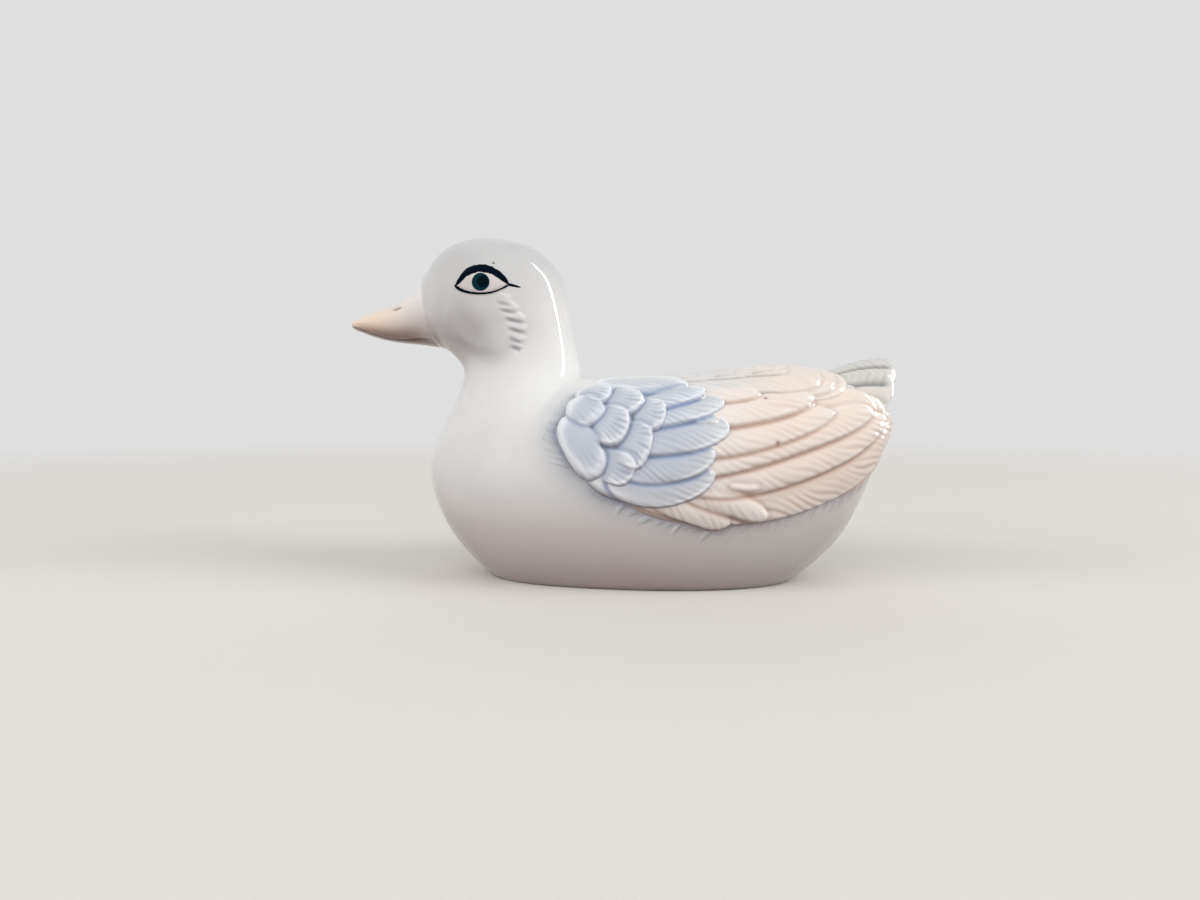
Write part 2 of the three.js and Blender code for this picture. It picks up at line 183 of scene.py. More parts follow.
def curve(points: tuple[Place, ...], share: Array) -> Array:
    """A smooth line through points.

    Args:
        points: The points in order.
        share: Where to read it, 0 at the first point and 1 at the last.

    Returns:
        Points on Catmull-Rom cubics, with a mirrored point before the first one and after the last.
    """
    knots = np.array(points, float)
    knots = np.vstack([2 * knots[0] - knots[1], knots, 2 * knots[-1] - knots[-2]])
    place = np.asarray(share) * (len(points) - 1)
    i = np.clip(np.floor(place).astype(int), 0, len(points) - 2)
    t = (place - i)[..., None]
    weights = (-t + 2 * t**2 - t**3, 2 - 5 * t**2 + 3 * t**3, t + 4 * t**2 - 3 * t**3, t**3 - t**2)
    return sum(weight * knots[i + k] for k, weight in enumerate(weights)) / 2


# The hull


class Hull:
    """The duck's outer form, an oval at each station of a fan from the rump to the crown."""

    # x and z of the oval's end on the spine, x and z of its end on keel, breast and face, half its
    # width, and how far its widest point is shifted from its middle toward the spine
    STATIONS = (
        (68.6, 40.2, 68.6, 39.8, 0.3, 0), (67.8, 46.4, 66.6, 33.0, 8, 0),
        (64.5, 49.2, 62.6, 23.0, 14, 0), (58.5, 50.5, 57.6, 11.2, 18.2, 0.05),
        (51, 51, 50.2, 3.8, 22, 0.08), (42, 51.3, 42, -2.6, 25.6, 0.1),
        (32, 51.5, 32, -7.5, 28.3, 0.1), (21, 51.4, 21, -10.3, 29.9, 0.1),
        (10, 51.2, 10, -11.2, 30.3, 0.1), (0, 51, -1, -11, 29.8, 0.1),
        (-6, 50.9, -12, -9.6, 29, 0.1), (-8, 51, -23, -6.5, 28.2, 0.08),
        (-8.6, 51.3, -33.2, 0.2, 26.8, 0.05), (-8.8, 51.8, -42.2, 9.4, 24.6, 0),
        (-8.9, 52.5, -47.2, 19.2, 22, 0), (-9.1, 53.6, -48.9, 28, 19.4, 0),
        (-9.5, 55.4, -45.8, 36.5, 17, 0), (-10.1, 57.8, -42.2, 43, 14.9, 0),
        (-10.8, 60.8, -39.6, 48.6, 13.6, 0), (-11.3, 64, -39, 53, 13.2, 0),
        (-11.8, 67.2, -41.6, 56.4, 14, 0), (-12.3, 70.6, -46.2, 59.8, 15.4, 0),
        (-12.9, 74, -49.4, 64, 16.6, 0), (-14.2, 77.6, -50.8, 69.6, 17, 0),
        (-17, 81.4, -50, 76, 16.2, 0), (-21.2, 84.6, -46.8, 81.8, 13.6, 0),
        (-26.8, 86.1, -41, 85.5, 9, 0), (-33.8, 86.6, -34.2, 86.6, 0.3, 0),
    )
    # The same numbers for an oval turned half round
    TURNED = (2, 3, 0, 1, 4, 5)
    SIGN = (1, 1, 1, 1, -1, -1)

    # Half the length that the lines are drawn for, and what stands over their highest and widest places
    DRAWN_HALF = 70.0
    CROWN_SWELL = 0.03
    WING_LIFT = 2.45

    def __init__(self) -> None:
        """Stretches the lines to the frame's box and rounds off both ends."""
        rows = np.array(self.STATIONS, float)
        self.long = BOX_HIGH[0] / self.DRAWN_HALF
        self.tall = (BOX_HIGH[2] - self.CROWN_SWELL) / rows[-1, 1]
        rows[:, [0, 2]] *= self.long
        rows[:, [1, 3]] *= self.tall
        rows[:, 4] *= (BOX_HIGH[1] - self.WING_LIFT) / rows[:, 4].max()
        self.last = len(rows) - 1
        rows = with_pole(rows, self.TURNED, self.SIGN)
        self.rows = with_pole(rows[::-1], self.TURNED, self.SIGN)[::-1]

    def point(self, station: Array, degrees: Array) -> Array:
        """Places on the hull.

        Args:
            station: How far along the fan, 0 at the rump.
            degrees: How far round from the spine, over the left side.

        Returns:
            Points in mm: the middle of the oval, plus half its height times cos a + high sin^2 a,
            plus half its width times sin a.
        """
        station, degrees = np.broadcast_arrays(np.asarray(station, float), np.asarray(degrees, float))
        back_x, back_z, front_x, front_z, half, high = np.moveaxis(spline(self.rows, station), -1, 0)
        angle = np.radians(degrees)
        along = np.cos(angle) + high * np.sin(angle) ** 2
        x = (back_x + front_x) / 2 + (back_x - front_x) / 2 * along
        z = (back_z + front_z) / 2 + (back_z - front_z) / 2 * along
        return np.stack([x, -half * np.sin(angle), z], -1)

    def frame(self, station: Array, degrees: Array) -> tuple[Array, Array, Array]:
        """The hull's own directions at places on it.

        Args:
            station: How far along the fan.
            degrees: How far round from the spine.

        Returns:
            mm per station, mm per degree, and the normal, which is their cross product at length 1.
        """
        step = 0.02
        at = np.clip(station, step, self.last - step)
        onward = (self.point(at + step, degrees) - self.point(at - step, degrees)) / (2 * step)
        round_ = (self.point(at, np.asarray(degrees) + 1) - self.point(at, np.asarray(degrees) - 1)) / 2
        return onward, round_, unit(np.cross(onward, round_))

    def raised(self, station: Array, degrees: Array, height: Array) -> Array:
        """Places above the hull: the point plus height times the normal."""
        _, _, normal = self.frame(station, degrees)
        return self.point(station, degrees) + normal * np.asarray(height)[..., None]


# Meshes


def link(name: str, data: bpy.types.ID) -> bpy.types.Object:
    """Puts data into the scene.

    Args:
        name: The new object's name.
        data: The mesh, lamp or camera for it.

    Returns:
        The object, at the origin.
    """
    made = bpy.data.objects.new(name, data)
    bpy.context.scene.collection.objects.link(made)
    return made


def numbers(grid: Array, start: int = 0) -> Array:
    """Vertex numbers for a grid of points, row by row."""
    return start + np.arange(grid.shape[0] * grid.shape[1]).reshape(grid.shape[:2])


def grid_faces(index: Array, closed: bool = False) -> Array:
    """Quads between the neighbours in a grid.

    Args:
        index: The grid's vertex numbers.
        closed: Whether its last column is joined to its first.

    Returns:
        One face a row, each facing along the grid's rows crossed with its columns.
    """
    if closed:
        index = np.concatenate([index, index[:, :1]], 1)
    corners = (index[:-1, :-1], index[1:, :-1], index[1:, 1:], index[:-1, 1:])
    return np.stack(corners, -1).reshape(-1, 4)


def rim_faces(top: Array, bottom: Array) -> Array:
    """Many-sided faces that join one edge of a fine grid to the same edge of a coarse one.

    Args:
        top: Vertex numbers along the fine edge, in the direction that the new faces run.
        bottom: Vertex numbers along the coarse edge, in the same direction.

    Returns:
        One face for each coarse segment: its fine vertices in order, then its two coarse ones.
    """
    every = (len(top) - 1) // (len(bottom) - 1)
    starts = np.arange(len(bottom) - 1)[:, None] * every
    return np.concatenate([top[starts + np.arange(every + 1)], bottom[1:, None], bottom[:-1, None]], 1)


class Side(Enum):
    """The duck's two sides, each with the sign that its Y gets."""

    LEFT = 1
    RIGHT = -1

    @property
    def label(self) -> str:
        """The side's name in a piece's name."""
        return self.name.lower()


@dataclass
class Shell:
    """A closed mesh on its way to Blender, in mm, with arrays of faces that have as many corners.

    A mask is a value from 0 to 1 at each point, which the piece's material reads by its name.
    """

    points: Array
    faces: list[Array]
    masks: dict[str, Array]

    def turned(self) -> "Shell":
        """The shell with its faces the other way round."""
        return replace(self, faces=[part[:, ::-1] for part in self.faces])

    def piece(self, name: str, side: Side = Side.LEFT) -> bpy.types.Object:
        """The shell as an object.

        Args:
            name: The piece's name.
            side: Its side of the duck. The right one gets the mirror image.

        Returns:
            The object at the origin, in the scene and shaded smooth.
        """
        faces = self.faces if side is Side.LEFT else self.turned().faces
        corners = np.concatenate([part.ravel() for part in faces]).astype(np.int32)
        counts = np.concatenate([np.full(len(part), part.shape[1]) for part in faces])
        points = self.points * (MM, side.value * MM, MM)
        mesh = bpy.data.meshes.new(name)
        mesh.vertices.add(len(points))
        mesh.vertices.foreach_set("co", points.astype(np.float32).ravel())
        mesh.loops.add(len(corners))
        mesh.loops.foreach_set("vertex_index", corners)
        mesh.polygons.add(len(counts))
        mesh.polygons.foreach_set("loop_start", running(counts)[:-1].astype(np.int32))
        mesh.polygons.foreach_set("use_smooth", np.ones(len(counts), bool))
        mesh.update(calc_edges=True)
        mesh.validate()
        for label, values in self.masks.items():
            attribute = mesh.attributes.new(label, "FLOAT", "POINT")
            attribute.data.foreach_set("value", values.astype(np.float32).ravel())
        return link(name, mesh)


def tube(points: Array, masks: dict[str, Array]) -> Shell:
    """A closed mesh of rings, with a face over each end.

    Args:
        points: The rings' points, one ring a row.
        masks: Mask values on the rings, or ones that spread over them.

    Returns:
        The shell.
    """
    index = numbers(points)
    faces = [grid_faces(index, closed=True), index[:1, ::-1], index[-1:]]
    full = {key: np.broadcast_to(value, index.shape) for key, value in masks.items()}
    return Shell(points.reshape(-1, 3), faces, full)


def slab(top: Array, bottom: Array, masks: dict[str, Array]) -> Shell:
    """A closed plate: a grid on top, a grid below and a rim between them.

    Args:
        top: Upper points, rows by columns by 3.
        bottom: Lower points, one for each upper one, or one for every few rows and columns of them.
        masks: Mask values on the upper grid.

    Returns:
        The plate. Its lower points take the masks of the upper ones above them.
    """
    upper = numbers(top)
    lower = numbers(bottom, upper.size)
    every = (len(top) - 1) // (len(bottom) - 1)
    faces = [grid_faces(upper), grid_faces(lower)[:, ::-1]]
    edges = (np.s_[::-1, 0], np.s_[:, -1], np.s_[-1, ::-1], np.s_[0])
    faces += [rim_faces(upper[edge], lower[edge]) for edge in edges]
    points = np.concatenate([top.reshape(-1, 3), bottom.reshape(-1, 3)])
    both = {k: np.concatenate([v.ravel(), v[::every, ::every].ravel()]) for k, v in masks.items()}
    return Shell(points, faces, both)


# Feathers


@dataclass(frozen=True)
class Carving:
    """How a kind of feather is cut into the model that the mould is taken from, in mm and degrees.

    barb is the spacing of its barb strokes, slant their angle to the shaft and cut their depth. shelve
    is how far its spine side sinks to slip under its neighbour, dip how far its root does, crown its
    fullness and rim the height of the bead round its free end. Its edge is rounded over the width edge,
    times tip at its tip, and it stands at least clear above what is beneath. Fanned strokes spread
    from the root.
    """

    barb: float
    slant: float
    cut: float = 0.0
    shelve: float = 0.0
    dip: float = 0.0
    crown: float = 0.25
    rim: float = 0.0
    edge: float = 0.9
    clear: float = 0.12
    tip: float = 1.9
    fanned: bool = False


class Kind(Enum):
    """The kinds of feather on the duck."""

    GROUND = Carving(2.3, 48, edge=2.2, clear=0.35, tip=1.0)
    PAD = Carving(2.3, 48, edge=1.1, clear=0.22, tip=1.0)
    VANE = Carving(2.8, 30, cut=0.12, edge=2.2, clear=0.35, tip=1.0)
    FLIGHT = Carving(2.6, 38, cut=0.24, shelve=0.95, dip=0.3, crown=0.5, rim=0.2, tip=3.0)
    SHORT = Carving(2.4, 40, cut=0.2, shelve=0.3, dip=0.5, crown=0.5, rim=0.08, edge=0.8)
    COVERT = Carving(2.1, 37, cut=0.21, shelve=1.0, dip=0.5, crown=0.45, rim=0.28, tip=0.7)
    SCALLOP = Carving(1.3, 0, cut=0.24, dip=1.7, crown=0.0, rim=0.42, fanned=True)
    PLAIN = Carving(1.6, 0, cut=0.05, dip=0.3, crown=0.35, rim=0.18, edge=1.5, fanned=True)
    MANTLE = Carving(2.6, 30, cut=0.16, dip=0.9, crown=0.3, rim=0.4, edge=0.8, tip=2.6)
    SADDLE = Carving(1.4, 24, cut=0.2, dip=0.6, crown=0.4, rim=0.05, edge=0.7)


@dataclass(frozen=True)
class Feather:
    """A leaf on the hull, from its root over its bend to its tip.

    up and down are its widths toward the spine and toward the foot, and rise its height, all in mm.
    """

    root: Place
    bend: Place
    tip: Place
    up: float
    down: float
    rise: float
    kind: Kind = Kind.GROUND

    # Where along it a leaf is widest, how blunt it is, and how finely its shaft is sampled
    WIDEST = 0.55
    BLUNT = 3
    SAMPLES = 64

    def mirrored(self) -> "Feather":
        """The same feather on the duck's other side."""
        root, bend, tip = ((station, -degrees) for station, degrees in (self.root, self.bend, self.tip))
        return replace(self, root=root, bend=bend, tip=tip, up=self.down, down=self.up)

    @property
    def seed(self) -> float:
        """A number of its own for its random draws."""
        return self.root[0] * 3.1 + self.tip[1] * 0.17

    def shaft(self, hull: Hull, share: Array) -> tuple[Array, Array, Array, Array]:
        """The shaft, a quadratic Bezier from root over bend to tip.

        Args:
            hull: The duck's hull.
            share: Where to read it, 0 at the root and 1 at the tip.

        Returns:
            Its stations and degrees, its direction in mm per share, the direction across it toward
            the spine, and the hull's mm per station and per degree there.
        """
        t = share[:, None]
        root, bend, tip = (np.array(place, float) for place in (self.root, self.bend, self.tip))
        at = (1 - t) ** 2 * root + 2 * t * (1 - t) * bend + t**2 * tip
        slope = 2 * (1 - t) * (bend - root) + 2 * t * (tip - bend)
        onward, round_, normal = hull.frame(*at.T)
        along = onward * slope[:, :1] + round_ * slope[:, 1:]
        return at, along, unit(np.cross(normal, along)), np.stack([onward, round_], -1)

    def outline(self, hull: Hull) -> Array:
        """The leaf's edge.

        Args:
            hull: The duck's hull.

        Returns:
            Stations and degrees, one row each: the shaft plus the width toward the spine, then the
            shaft minus the width toward the foot. The width goes as the root of 1 - |t|^3.
        """
        share = (1 - np.cos(np.linspace(0, np.pi, self.SAMPLES))) / 2
        at, _, across, basis = self.shaft(hull, share)
        steps = np.einsum("nij,nj->ni", np.linalg.pinv(basis), across)
        reach = np.where(share < self.WIDEST, self.WIDEST, 1 - self.WIDEST)
        width = np.sqrt(np.maximum(0, 1 - np.abs((share - self.WIDEST) / reach) ** self.BLUNT))[:, None]
        return np.concatenate([at + steps * width * self.up, at - steps * width * self.down])

    def local(self, hull: Hull, points: Array) -> "Local":
        """The leaf's own coordinates of points on the hull.

        Args:
            hull: The duck's hull.
            points: Points in mm, one row each.

        Returns:
            Each point's share along the shaft, mm across it toward the spine, and mm inside its edge.
            The nearest of many samples of the shaft is found, and the rest is read along its tangent.
            The edge is where 1 - |t|^3 - (across / width)^2 is zero, and the distance from it is that
            value divided by its own slope.
        """
        samples = np.linspace(0, 1, self.SAMPLES)
        at, along, across, _ = self.shaft(hull, samples)
        centre = hull.point(*at.T)
        speed = np.linalg.norm(along, axis=-1)
        apart = (points**2).sum(-1)[:, None] - 2 * points @ centre.T + (centre**2).sum(-1)
        nearest = apart.argmin(1)
        offset = points - centre[nearest]
        share = samples[nearest] + (offset * along[nearest]).sum(-1) / speed[nearest] ** 2
        side = (offset * across[nearest]).sum(-1)
        length = speed.mean()
        reach = np.where(share < self.WIDEST, self.WIDEST, 1 - self.WIDEST)
        turn = (share - self.WIDEST) / reach
        half = np.where(side > 0, self.up, self.down)
        value = 1 - np.abs(turn) ** self.BLUNT - (side / half) ** 2
        steep = np.hypot(self.BLUNT * turn**2 / (reach * length), 2 * side / half**2)
        inside = np.minimum(value / np.maximum(steep, 0.5 / half), half)
        return Local(share, side, inside, half, length)


@dataclass
class Local:
    """A leaf's own coordinates: share along it, mm across and inside its edge, its width and length."""

    share: Array
    side: Array
    inside: Array
    half: Array
    length: float


@dataclass
class Relief:
    """What is painted on a grid of the hull: height in mm, and masks of glaze and colour."""

    height: Array
    pool: Array
    thin_and_highlight: Array
    inside: Array

    # How far round a feather its edge still acts, and how deep the ground just outside it is hollowed
    PAST_EDGE = 6.0
    SEAT = 0.24

    @classmethod
    def of(cls, hull: Hull, points: Array, feathers: tuple[Feather, ...]) -> "Relief":
        """Feathers laid over bare ground.

        Args:
            hull: The duck's hull.
            points: The grid's points in mm.
            feathers: The feathers, from the lowest to the top one.

        Returns:
            What they paint.
        """
        shape = points.shape[:-1]
        made = cls(np.zeros(shape), np.zeros(shape), np.zeros(shape), np.full(shape, NOWHERE))
        made.lay(hull, points, feathers)
        return made

    def lay(self, hull: Hull, points: Array, feathers: tuple[Feather, ...]) -> None:
        """Lays feathers over what is there, as far as they reach.

        Args:
            hull: The duck's hull.
            points: The grid's points in mm.
            feathers: The feathers, from the lowest to the top one.
        """
        for feather in feathers:
            middle = hull.point(*feather.bend)
            ends = (hull.point(*feather.root), hull.point(*feather.tip))
            far = max(np.linalg.norm(end - middle) for end in ends)
            far += max(feather.up, feather.down) + self.PAST_EDGE
            near = np.linalg.norm(points - middle, axis=-1) < far
            if near.any():
                self.press(near, feather, feather.local(hull, points[near]))

    def press(self, near: Array, feather: Feather, at: Local) -> None:
        """Presses one feather into the places near it.

        Its edge rounds over as a quarter circle, over a greater width at its tip, and the barb strokes
        notch it. Just outside it, what lies beneath is hollowed a little.

        Args:
            near: Which of the grid's places lie near it.
            feather: The feather.
            at: Its own coordinates of them.
        """
        cut = feather.kind.value
        stroke = self.strokes(feather, at)
        low_side = (at.side + feather.down) / (feather.up + feather.down)
        top = feather.rise - cut.dip * (1 - smoothstep(0.0, 0.6, at.share))
        top -= cut.shelve * np.clip(low_side, 0, 1) ** 1.3
        top -= cut.crown * np.clip(at.side / at.half, -1, 1) ** 2
        bead = bump((at.inside - 0.5) / 0.42) * smoothstep(0.45, 0.8, at.share)
        top += cut.rim * bead - cut.cut * stroke
        at.inside -= 0.9 * cut.cut * stroke * smoothstep(1.2, 0.2, at.inside)
        width = cut.edge * lerp(1.0, cut.tip, smoothstep(0.7, 1.0, at.share))
        mask = np.sqrt(1 - (1 - np.clip((at.inside + 0.05) / width, 0, 1)) ** 2)
        seat = bump((at.inside + 0.3) / 0.45) * (1 - mask)
        height = self.height[near] - self.SEAT * seat
        self.height[near] = lerp(height, np.maximum(top, height + cut.clear), mask)
        groove = bump((at.inside + 0.15) / 0.55)
        line = 1 - 0.75 * smoothstep(0.7, 0.95, at.share)
        line *= 1 - 0.5 * smoothstep(-0.4, 0.6, at.side / at.half)
        line *= 0.6 if cut.fanned else 1.0
        self.pool[near] = lerp(np.maximum(self.pool[near], groove * line), 0.35 * stroke, mask)
        self.thin_and_highlight[near] = lerp(self.thin_and_highlight[near] * (1 - groove), bead * min(1.0, cut.rim / 0.2), mask)
        self.inside[near] = np.maximum(self.inside[near], at.inside)

    @staticmethod
    def strokes(feather: Feather, at: Local) -> Array:
        """Barb strokes.

        Args:
            feather: The feather.
            at: Its own coordinates of some places.

        Returns:
            1 in a groove and 0 between them. On a long feather a stroke is a line at the slant to the
            shaft, so its number is the mm along the shaft plus the mm across over tan(slant), over
            the spacing. On a fanned one it is the angle at the root times the leaf's length, over the
            spacing. Each has its own strength and reach.
        """
        cut = feather.kind.value
        if cut.cut == 0:
            return np.zeros_like(at.share)
        along = at.share * at.length
        number = 0.35 * np.sin(0.45 * along + feather.seed) + 0.08 * np.sin(0.9 * at.side + along)
        if cut.fanned:
            number += np.arctan2(at.side, along + 0.12 * at.length) * 0.95 * at.length / cut.barb
        else:
            number += (along + at.side / math.tan(math.radians(cut.slant))) / cut.barb
        wave, own = waves(number, feather.seed, 1.8)
        if cut.fanned:
            reach = smoothstep(0.25 + 0.2 * own, 0.55 + 0.2 * own, at.share)
        else:
            reach = smoothstep(0.02, 0.12, at.share)
            reach *= 1 - 0.85 * smoothstep(0.0, 0.8, at.side / at.half + 0.4 * own)
        return wave * reach * (0.2 + 0.8 * own) * smoothstep(-0.3, 0.5, at.inside)


@dataclass
class Patch:
    """A grid of places on the hull that covers some feathers."""

    hull: Hull
    station: Array
    degrees: Array
    point: Array
    spacing: float

    # About the length of a station on the trunk, and the first station that a patch may reach
    MM_PER_STATION = 9.0
    FIRST = 0.3
    # A plate's underside has one point for this many of its top's, and lies this many mm inside the body
    COARSE = 4
    BURIED = 1.7

    @classmethod
    def over(
        cls, hull: Hull, feathers: tuple[Feather, ...], spacing: float, margin: float = 2.6
    ) -> "Patch":
        """A grid that reaches past the feathers' edges on all sides.

        Args:
            hull: The duck's hull.
            feathers: The feathers to cover.
            spacing: Distance between grid points in mm.
            margin: How far it reaches past the feathers, in mm.

        Returns:
            Rows at even distances along the hull. Each row runs between the feathers' lowest and
            highest angles there, both smoothed, plus a margin.
        """
        edge = np.concatenate([feather.outline(hull) for feather in feathers])
        past = margin / cls.MM_PER_STATION
        fine = np.linspace(max(edge[:, 0].min() - past, cls.FIRST), edge[:, 0].max() + past, 400)
        middle = (edge[:, 1].min() + edge[:, 1].max()) / 2
        travel = np.linalg.norm(np.diff(hull.point(fine, middle), axis=0), axis=-1)
        rows = cls.COARSE * math.ceil(travel.sum() / spacing / cls.COARSE) + 1
        station = even(fine, travel, rows)
        apart = np.abs(edge[:, 0][None] - station[:, None])
        near = apart < np.maximum(0.45, apart.min(1, keepdims=True) + 0.1)
        ends = (np.where(near, edge[:, 1], 999).min(1), np.where(near, edge[:, 1], -999).max(1))
        low, high = (soften(np.repeat(end[:, None], 3, 1), 7)[:, 1] for end in ends)
        _, round_, _ = hull.frame(station, (low + high) / 2)
        mm_per_degree = np.linalg.norm(round_, axis=-1)
        low, high = low - margin / mm_per_degree, high + margin / mm_per_degree
        columns = cls.COARSE * math.ceil(((high - low) * mm_per_degree).max() / spacing / cls.COARSE) + 1
        station = np.repeat(station[:, None], columns, 1)
        degrees = lerp(low[:, None], high[:, None], np.linspace(0, 1, columns))
        return cls(hull, station, degrees, hull.point(station, degrees), spacing)

    def relief(self, feathers: tuple[Feather, ...]) -> Relief:
        """Feathers laid over bare ground on this grid."""
        return Relief.of(self.hull, self.point, feathers)

    def slab(self, height: Array, masks: dict[str, Array]) -> Shell:
        """A closed plate over the grid.

        Args:
            height: Height of its top over the hull, in mm.
            masks: Mask values on the grid.

        Returns:
            The plate, with its underside inside the body.
        """
        top = self.hull.raised(self.station, self.degrees, height)
        station, degrees = (grid[:: self.COARSE, :: self.COARSE] for grid in (self.station, self.degrees))
        bottom = self.hull.raised(station, degrees, np.full_like(station, -self.BURIED))
        return slab(top, bottom, masks)

    def plate(self, relief: Relief, dive: float, masks: dict[str, Array]) -> Shell:
        """The feathers as a closed plate on the hull.

        Args:
            relief: What is painted on this grid.
            dive: How deep the plate's border goes under what it lies on, in mm.
            masks: Mask values besides the relief's own.

        Returns:
            The plate: its top at the relief's height, which dives past the feathers' edges. How far a place
                lies below those around it sets its masks: darker in hollows and pits, as pooled glaze and
                partly painted shade, and whiter on raised places, as thin glaze and partly a painted
                highlight.
        """
        sunk = soften(relief.height, 1.5 / self.spacing) - relief.height
        own = {
            "pool": np.clip(soften(relief.pool, 0.22 / self.spacing), 0, 1),
            "thin_and_highlight": np.clip(soften(relief.thin_and_highlight, 0.8) + smoothstep(0.0, 0.45, -sunk), 0, 1),
            "low": smoothstep(0.0, 0.6, sunk),
            "pit": smoothstep(0.4, 0.85, sunk),
        }
        height = soften(relief.height, 0.2 / self.spacing) - dive * smoothstep(0.0, 0.6, -relief.inside)
        return self.slab(height, {**own, **masks})


# Finishes


def linear(hex_colour: str) -> tuple[float, float, float, float]:
    """A colour as the materials take it, by the curve of the sRGB standard.

    Args:
        hex_colour: The sRGB colour as # and six hex digits.

    Returns:
        Linear red, green and blue, and alpha 1.
    """
    values = [int(hex_colour[i : i + 2], 16) / 255 for i in (1, 3, 5)]
    flat = [v / 12.92 if v <= 0.04045 else ((v + 0.055) / 1.055) ** 2.4 for v in values]
    return (*flat, 1.0)


def empty_tree(owner: bpy.types.Material | bpy.types.World) -> bpy.types.NodeTree:
    """Clears a node tree.

    Args:
        owner: The material or world that it belongs to.

    Returns:
        The empty tree.
    """
    owner.use_nodes = True
    owner.node_tree.nodes.clear()
    return owner.node_tree


def add_node(
    tree: bpy.types.NodeTree,
    kind: str,
    sockets: dict[str | int, object] | None = None,
    output: str | int = 0,
    **settings: object,
) -> bpy.types.NodeSocket | None:
    """Adds a node.

    Args:
        tree: The material's node tree.
        kind: The node's type, without the ShaderNode in front.
        sockets: Inputs by name or number, each a value or an output to link.
        output: The output that is wanted, by name or number.
        settings: The node's own properties.

    Returns:
        That output, or nothing from a node without one.
    """
    made = tree.nodes.new(f"ShaderNode{kind}")
    for key, value in settings.items():
        setattr(made, key, value)
    for key, value in (sockets or {}).items():
        if isinstance(value, bpy.types.NodeSocket):
            tree.links.new(value, made.inputs[key])
        else:
            made.inputs[key].default_value = value
    return made.outputs[output] if made.outputs else None


@dataclass(frozen=True)
class Glaze:
    """Clear glaze over sprayed colour on porcelain, which gives a wet gloss and soft edges to each colour.

    washes are masks of the piece with the colour that each brings and its strength. Colour clouds by
    mottle over patches of a few mm, as a hand-held spray gun leaves it, and the glaze wavers by ripple.
    """

    name: str
    body: str
    washes: tuple[tuple[str, str, float], ...] = ()
    mottle: float = 0.04
    ripple: float = 0.025
    roughness: float = 0.12
    glow: float = 0.08
    coat: float = 0.9
    specular: float = 0.25

    # The spray's clouds, the glaze's waves and the specks in its gloss: each one's size in mm, detail
    # and roughness. A noise's own values lie about between those of its range
    CLOUD = (9.0, 3.0, 0.55)
    WAVE = (5.0, 1.0, 0.4)
    SPECK = (0.5, 2.0, 0.5)
    NOISE_RANGE = {1: 0.3, 2: 0.7}

    def material(self) -> bpy.types.Material:
        """The finish as a material.

        Returns:
            The material: each wash is blended over the colour by its mask, and noise makes the washes'
            strength, the brightness and the roughness drift and the surface waver.
        """
        made = bpy.data.materials.new(self.name)
        tree = empty_tree(made)
        place = add_node(tree, "TexCoord", output="Object")
        cloud, wave, speck = (
            add_node(
                tree,
                "TexNoise",
                {"Vector": place, "Scale": 1 / (size * MM), "Detail": detail, "Roughness": roughness},
                "Fac",
            )
            for size, detail, roughness in (self.CLOUD, self.WAVE, self.SPECK)
        )
        clouds, specks = {0: cloud, **self.NOISE_RANGE}, {0: speck, **self.NOISE_RANGE}
        colour = linear(self.body)
        for mask, hex_colour, strength in self.washes:
            value = add_node(tree, "Attribute", output="Fac", attribute_name=mask)
            drift = add_node(tree, "MapRange", {**clouds, 3: 0.8 * strength, 4: 1.15 * strength})
            share = add_node(tree, "Math", {0: value, 1: drift}, operation="MULTIPLY", use_clamp=True)
            blend = {0: share, 6: colour, 7: linear(hex_colour)}
            colour = add_node(tree, "Mix", blend, output=2, data_type="RGBA")
        shade = add_node(tree, "MapRange", {**clouds, 3: 1 - self.mottle, 4: 1 + self.mottle / 4})
        waver = {"Height": wave, "Strength": 1.0, "Distance": self.ripple * MM}
        gloss = {**specks, 3: self.roughness * 0.85, 4: self.roughness * 1.2}
        sockets = {
            "Base Color": add_node(tree, "VectorMath", {0: colour, "Scale": shade}, operation="SCALE"),
            "Roughness": add_node(tree, "MapRange", gloss),
            "IOR": 1.5,
            "Subsurface Weight": self.glow,
            "Subsurface Radius": (1.0, 0.8, 0.6),
            "Subsurface Scale": 0.9 * MM,
            "Specular IOR Level": self.specular,
            "Coat Weight": self.coat,
            "Coat Roughness": 0.03,
            "Normal": add_node(tree, "Bump", waver),
        }
        add_node(tree, "OutputMaterial", {"Surface": add_node(tree, "BsdfPrincipled", sockets)})
        return made


# Grey-blue overspray, painted shade that greys the crown, a rosy painted shade low down, glaze pooled in
# folds together with painted shade, bare porcelain below
WHITE_GLAZE = Glaze(
    "glazed_white_porcelain",
    "#ECECEA",
    (
        ("spray", "#A6AFBB", 0.95),
        # The crown's grey is painted shade, greyer the higher it lies
        ("crown", "#B6B7B8", 0.7),
        ("painted_shade", "#D3BDB6", 0.7),
        ("pool", "#9A98AA", 0.6),
        ("bare", "#D9D2C6", 0.9),
    ),
)
# Pale blue that is deeper in the hollows and grey in the pits, partly pooled glaze and partly painted shade,
# and white on the edges, partly thin glaze and partly a painted highlight
BLUE_GLAZE = Glaze(
    "glazed_sprayed_blue",
    "#C4CBD6",
    (
        ("wash", "#DDDEDF", 0.8),
        ("low", "#A3B2CA", 0.85),
        ("thin_and_highlight", "#F2F5F9", 0.95),
        ("pool", "#748CB6", 0.75),
        ("pit", "#7F8284", 0.65),
    ),
)
# Warm cream with brown in the grooves, greyer beside the coverts, and two iron specks
CREAM_GLAZE = Glaze(
    "glazed_sprayed_cream",
    "#F5E6DA",
    (
        ("wash", "#F3ECE6", 0.8),
        ("low", "#D8BFAF", 0.6),
        ("thin_and_highlight", "#F6F1EC", 0.75),
        ("pool", "#B58C78", 0.7),
        ("speck", "#9A5838", 0.95),
    ),
)
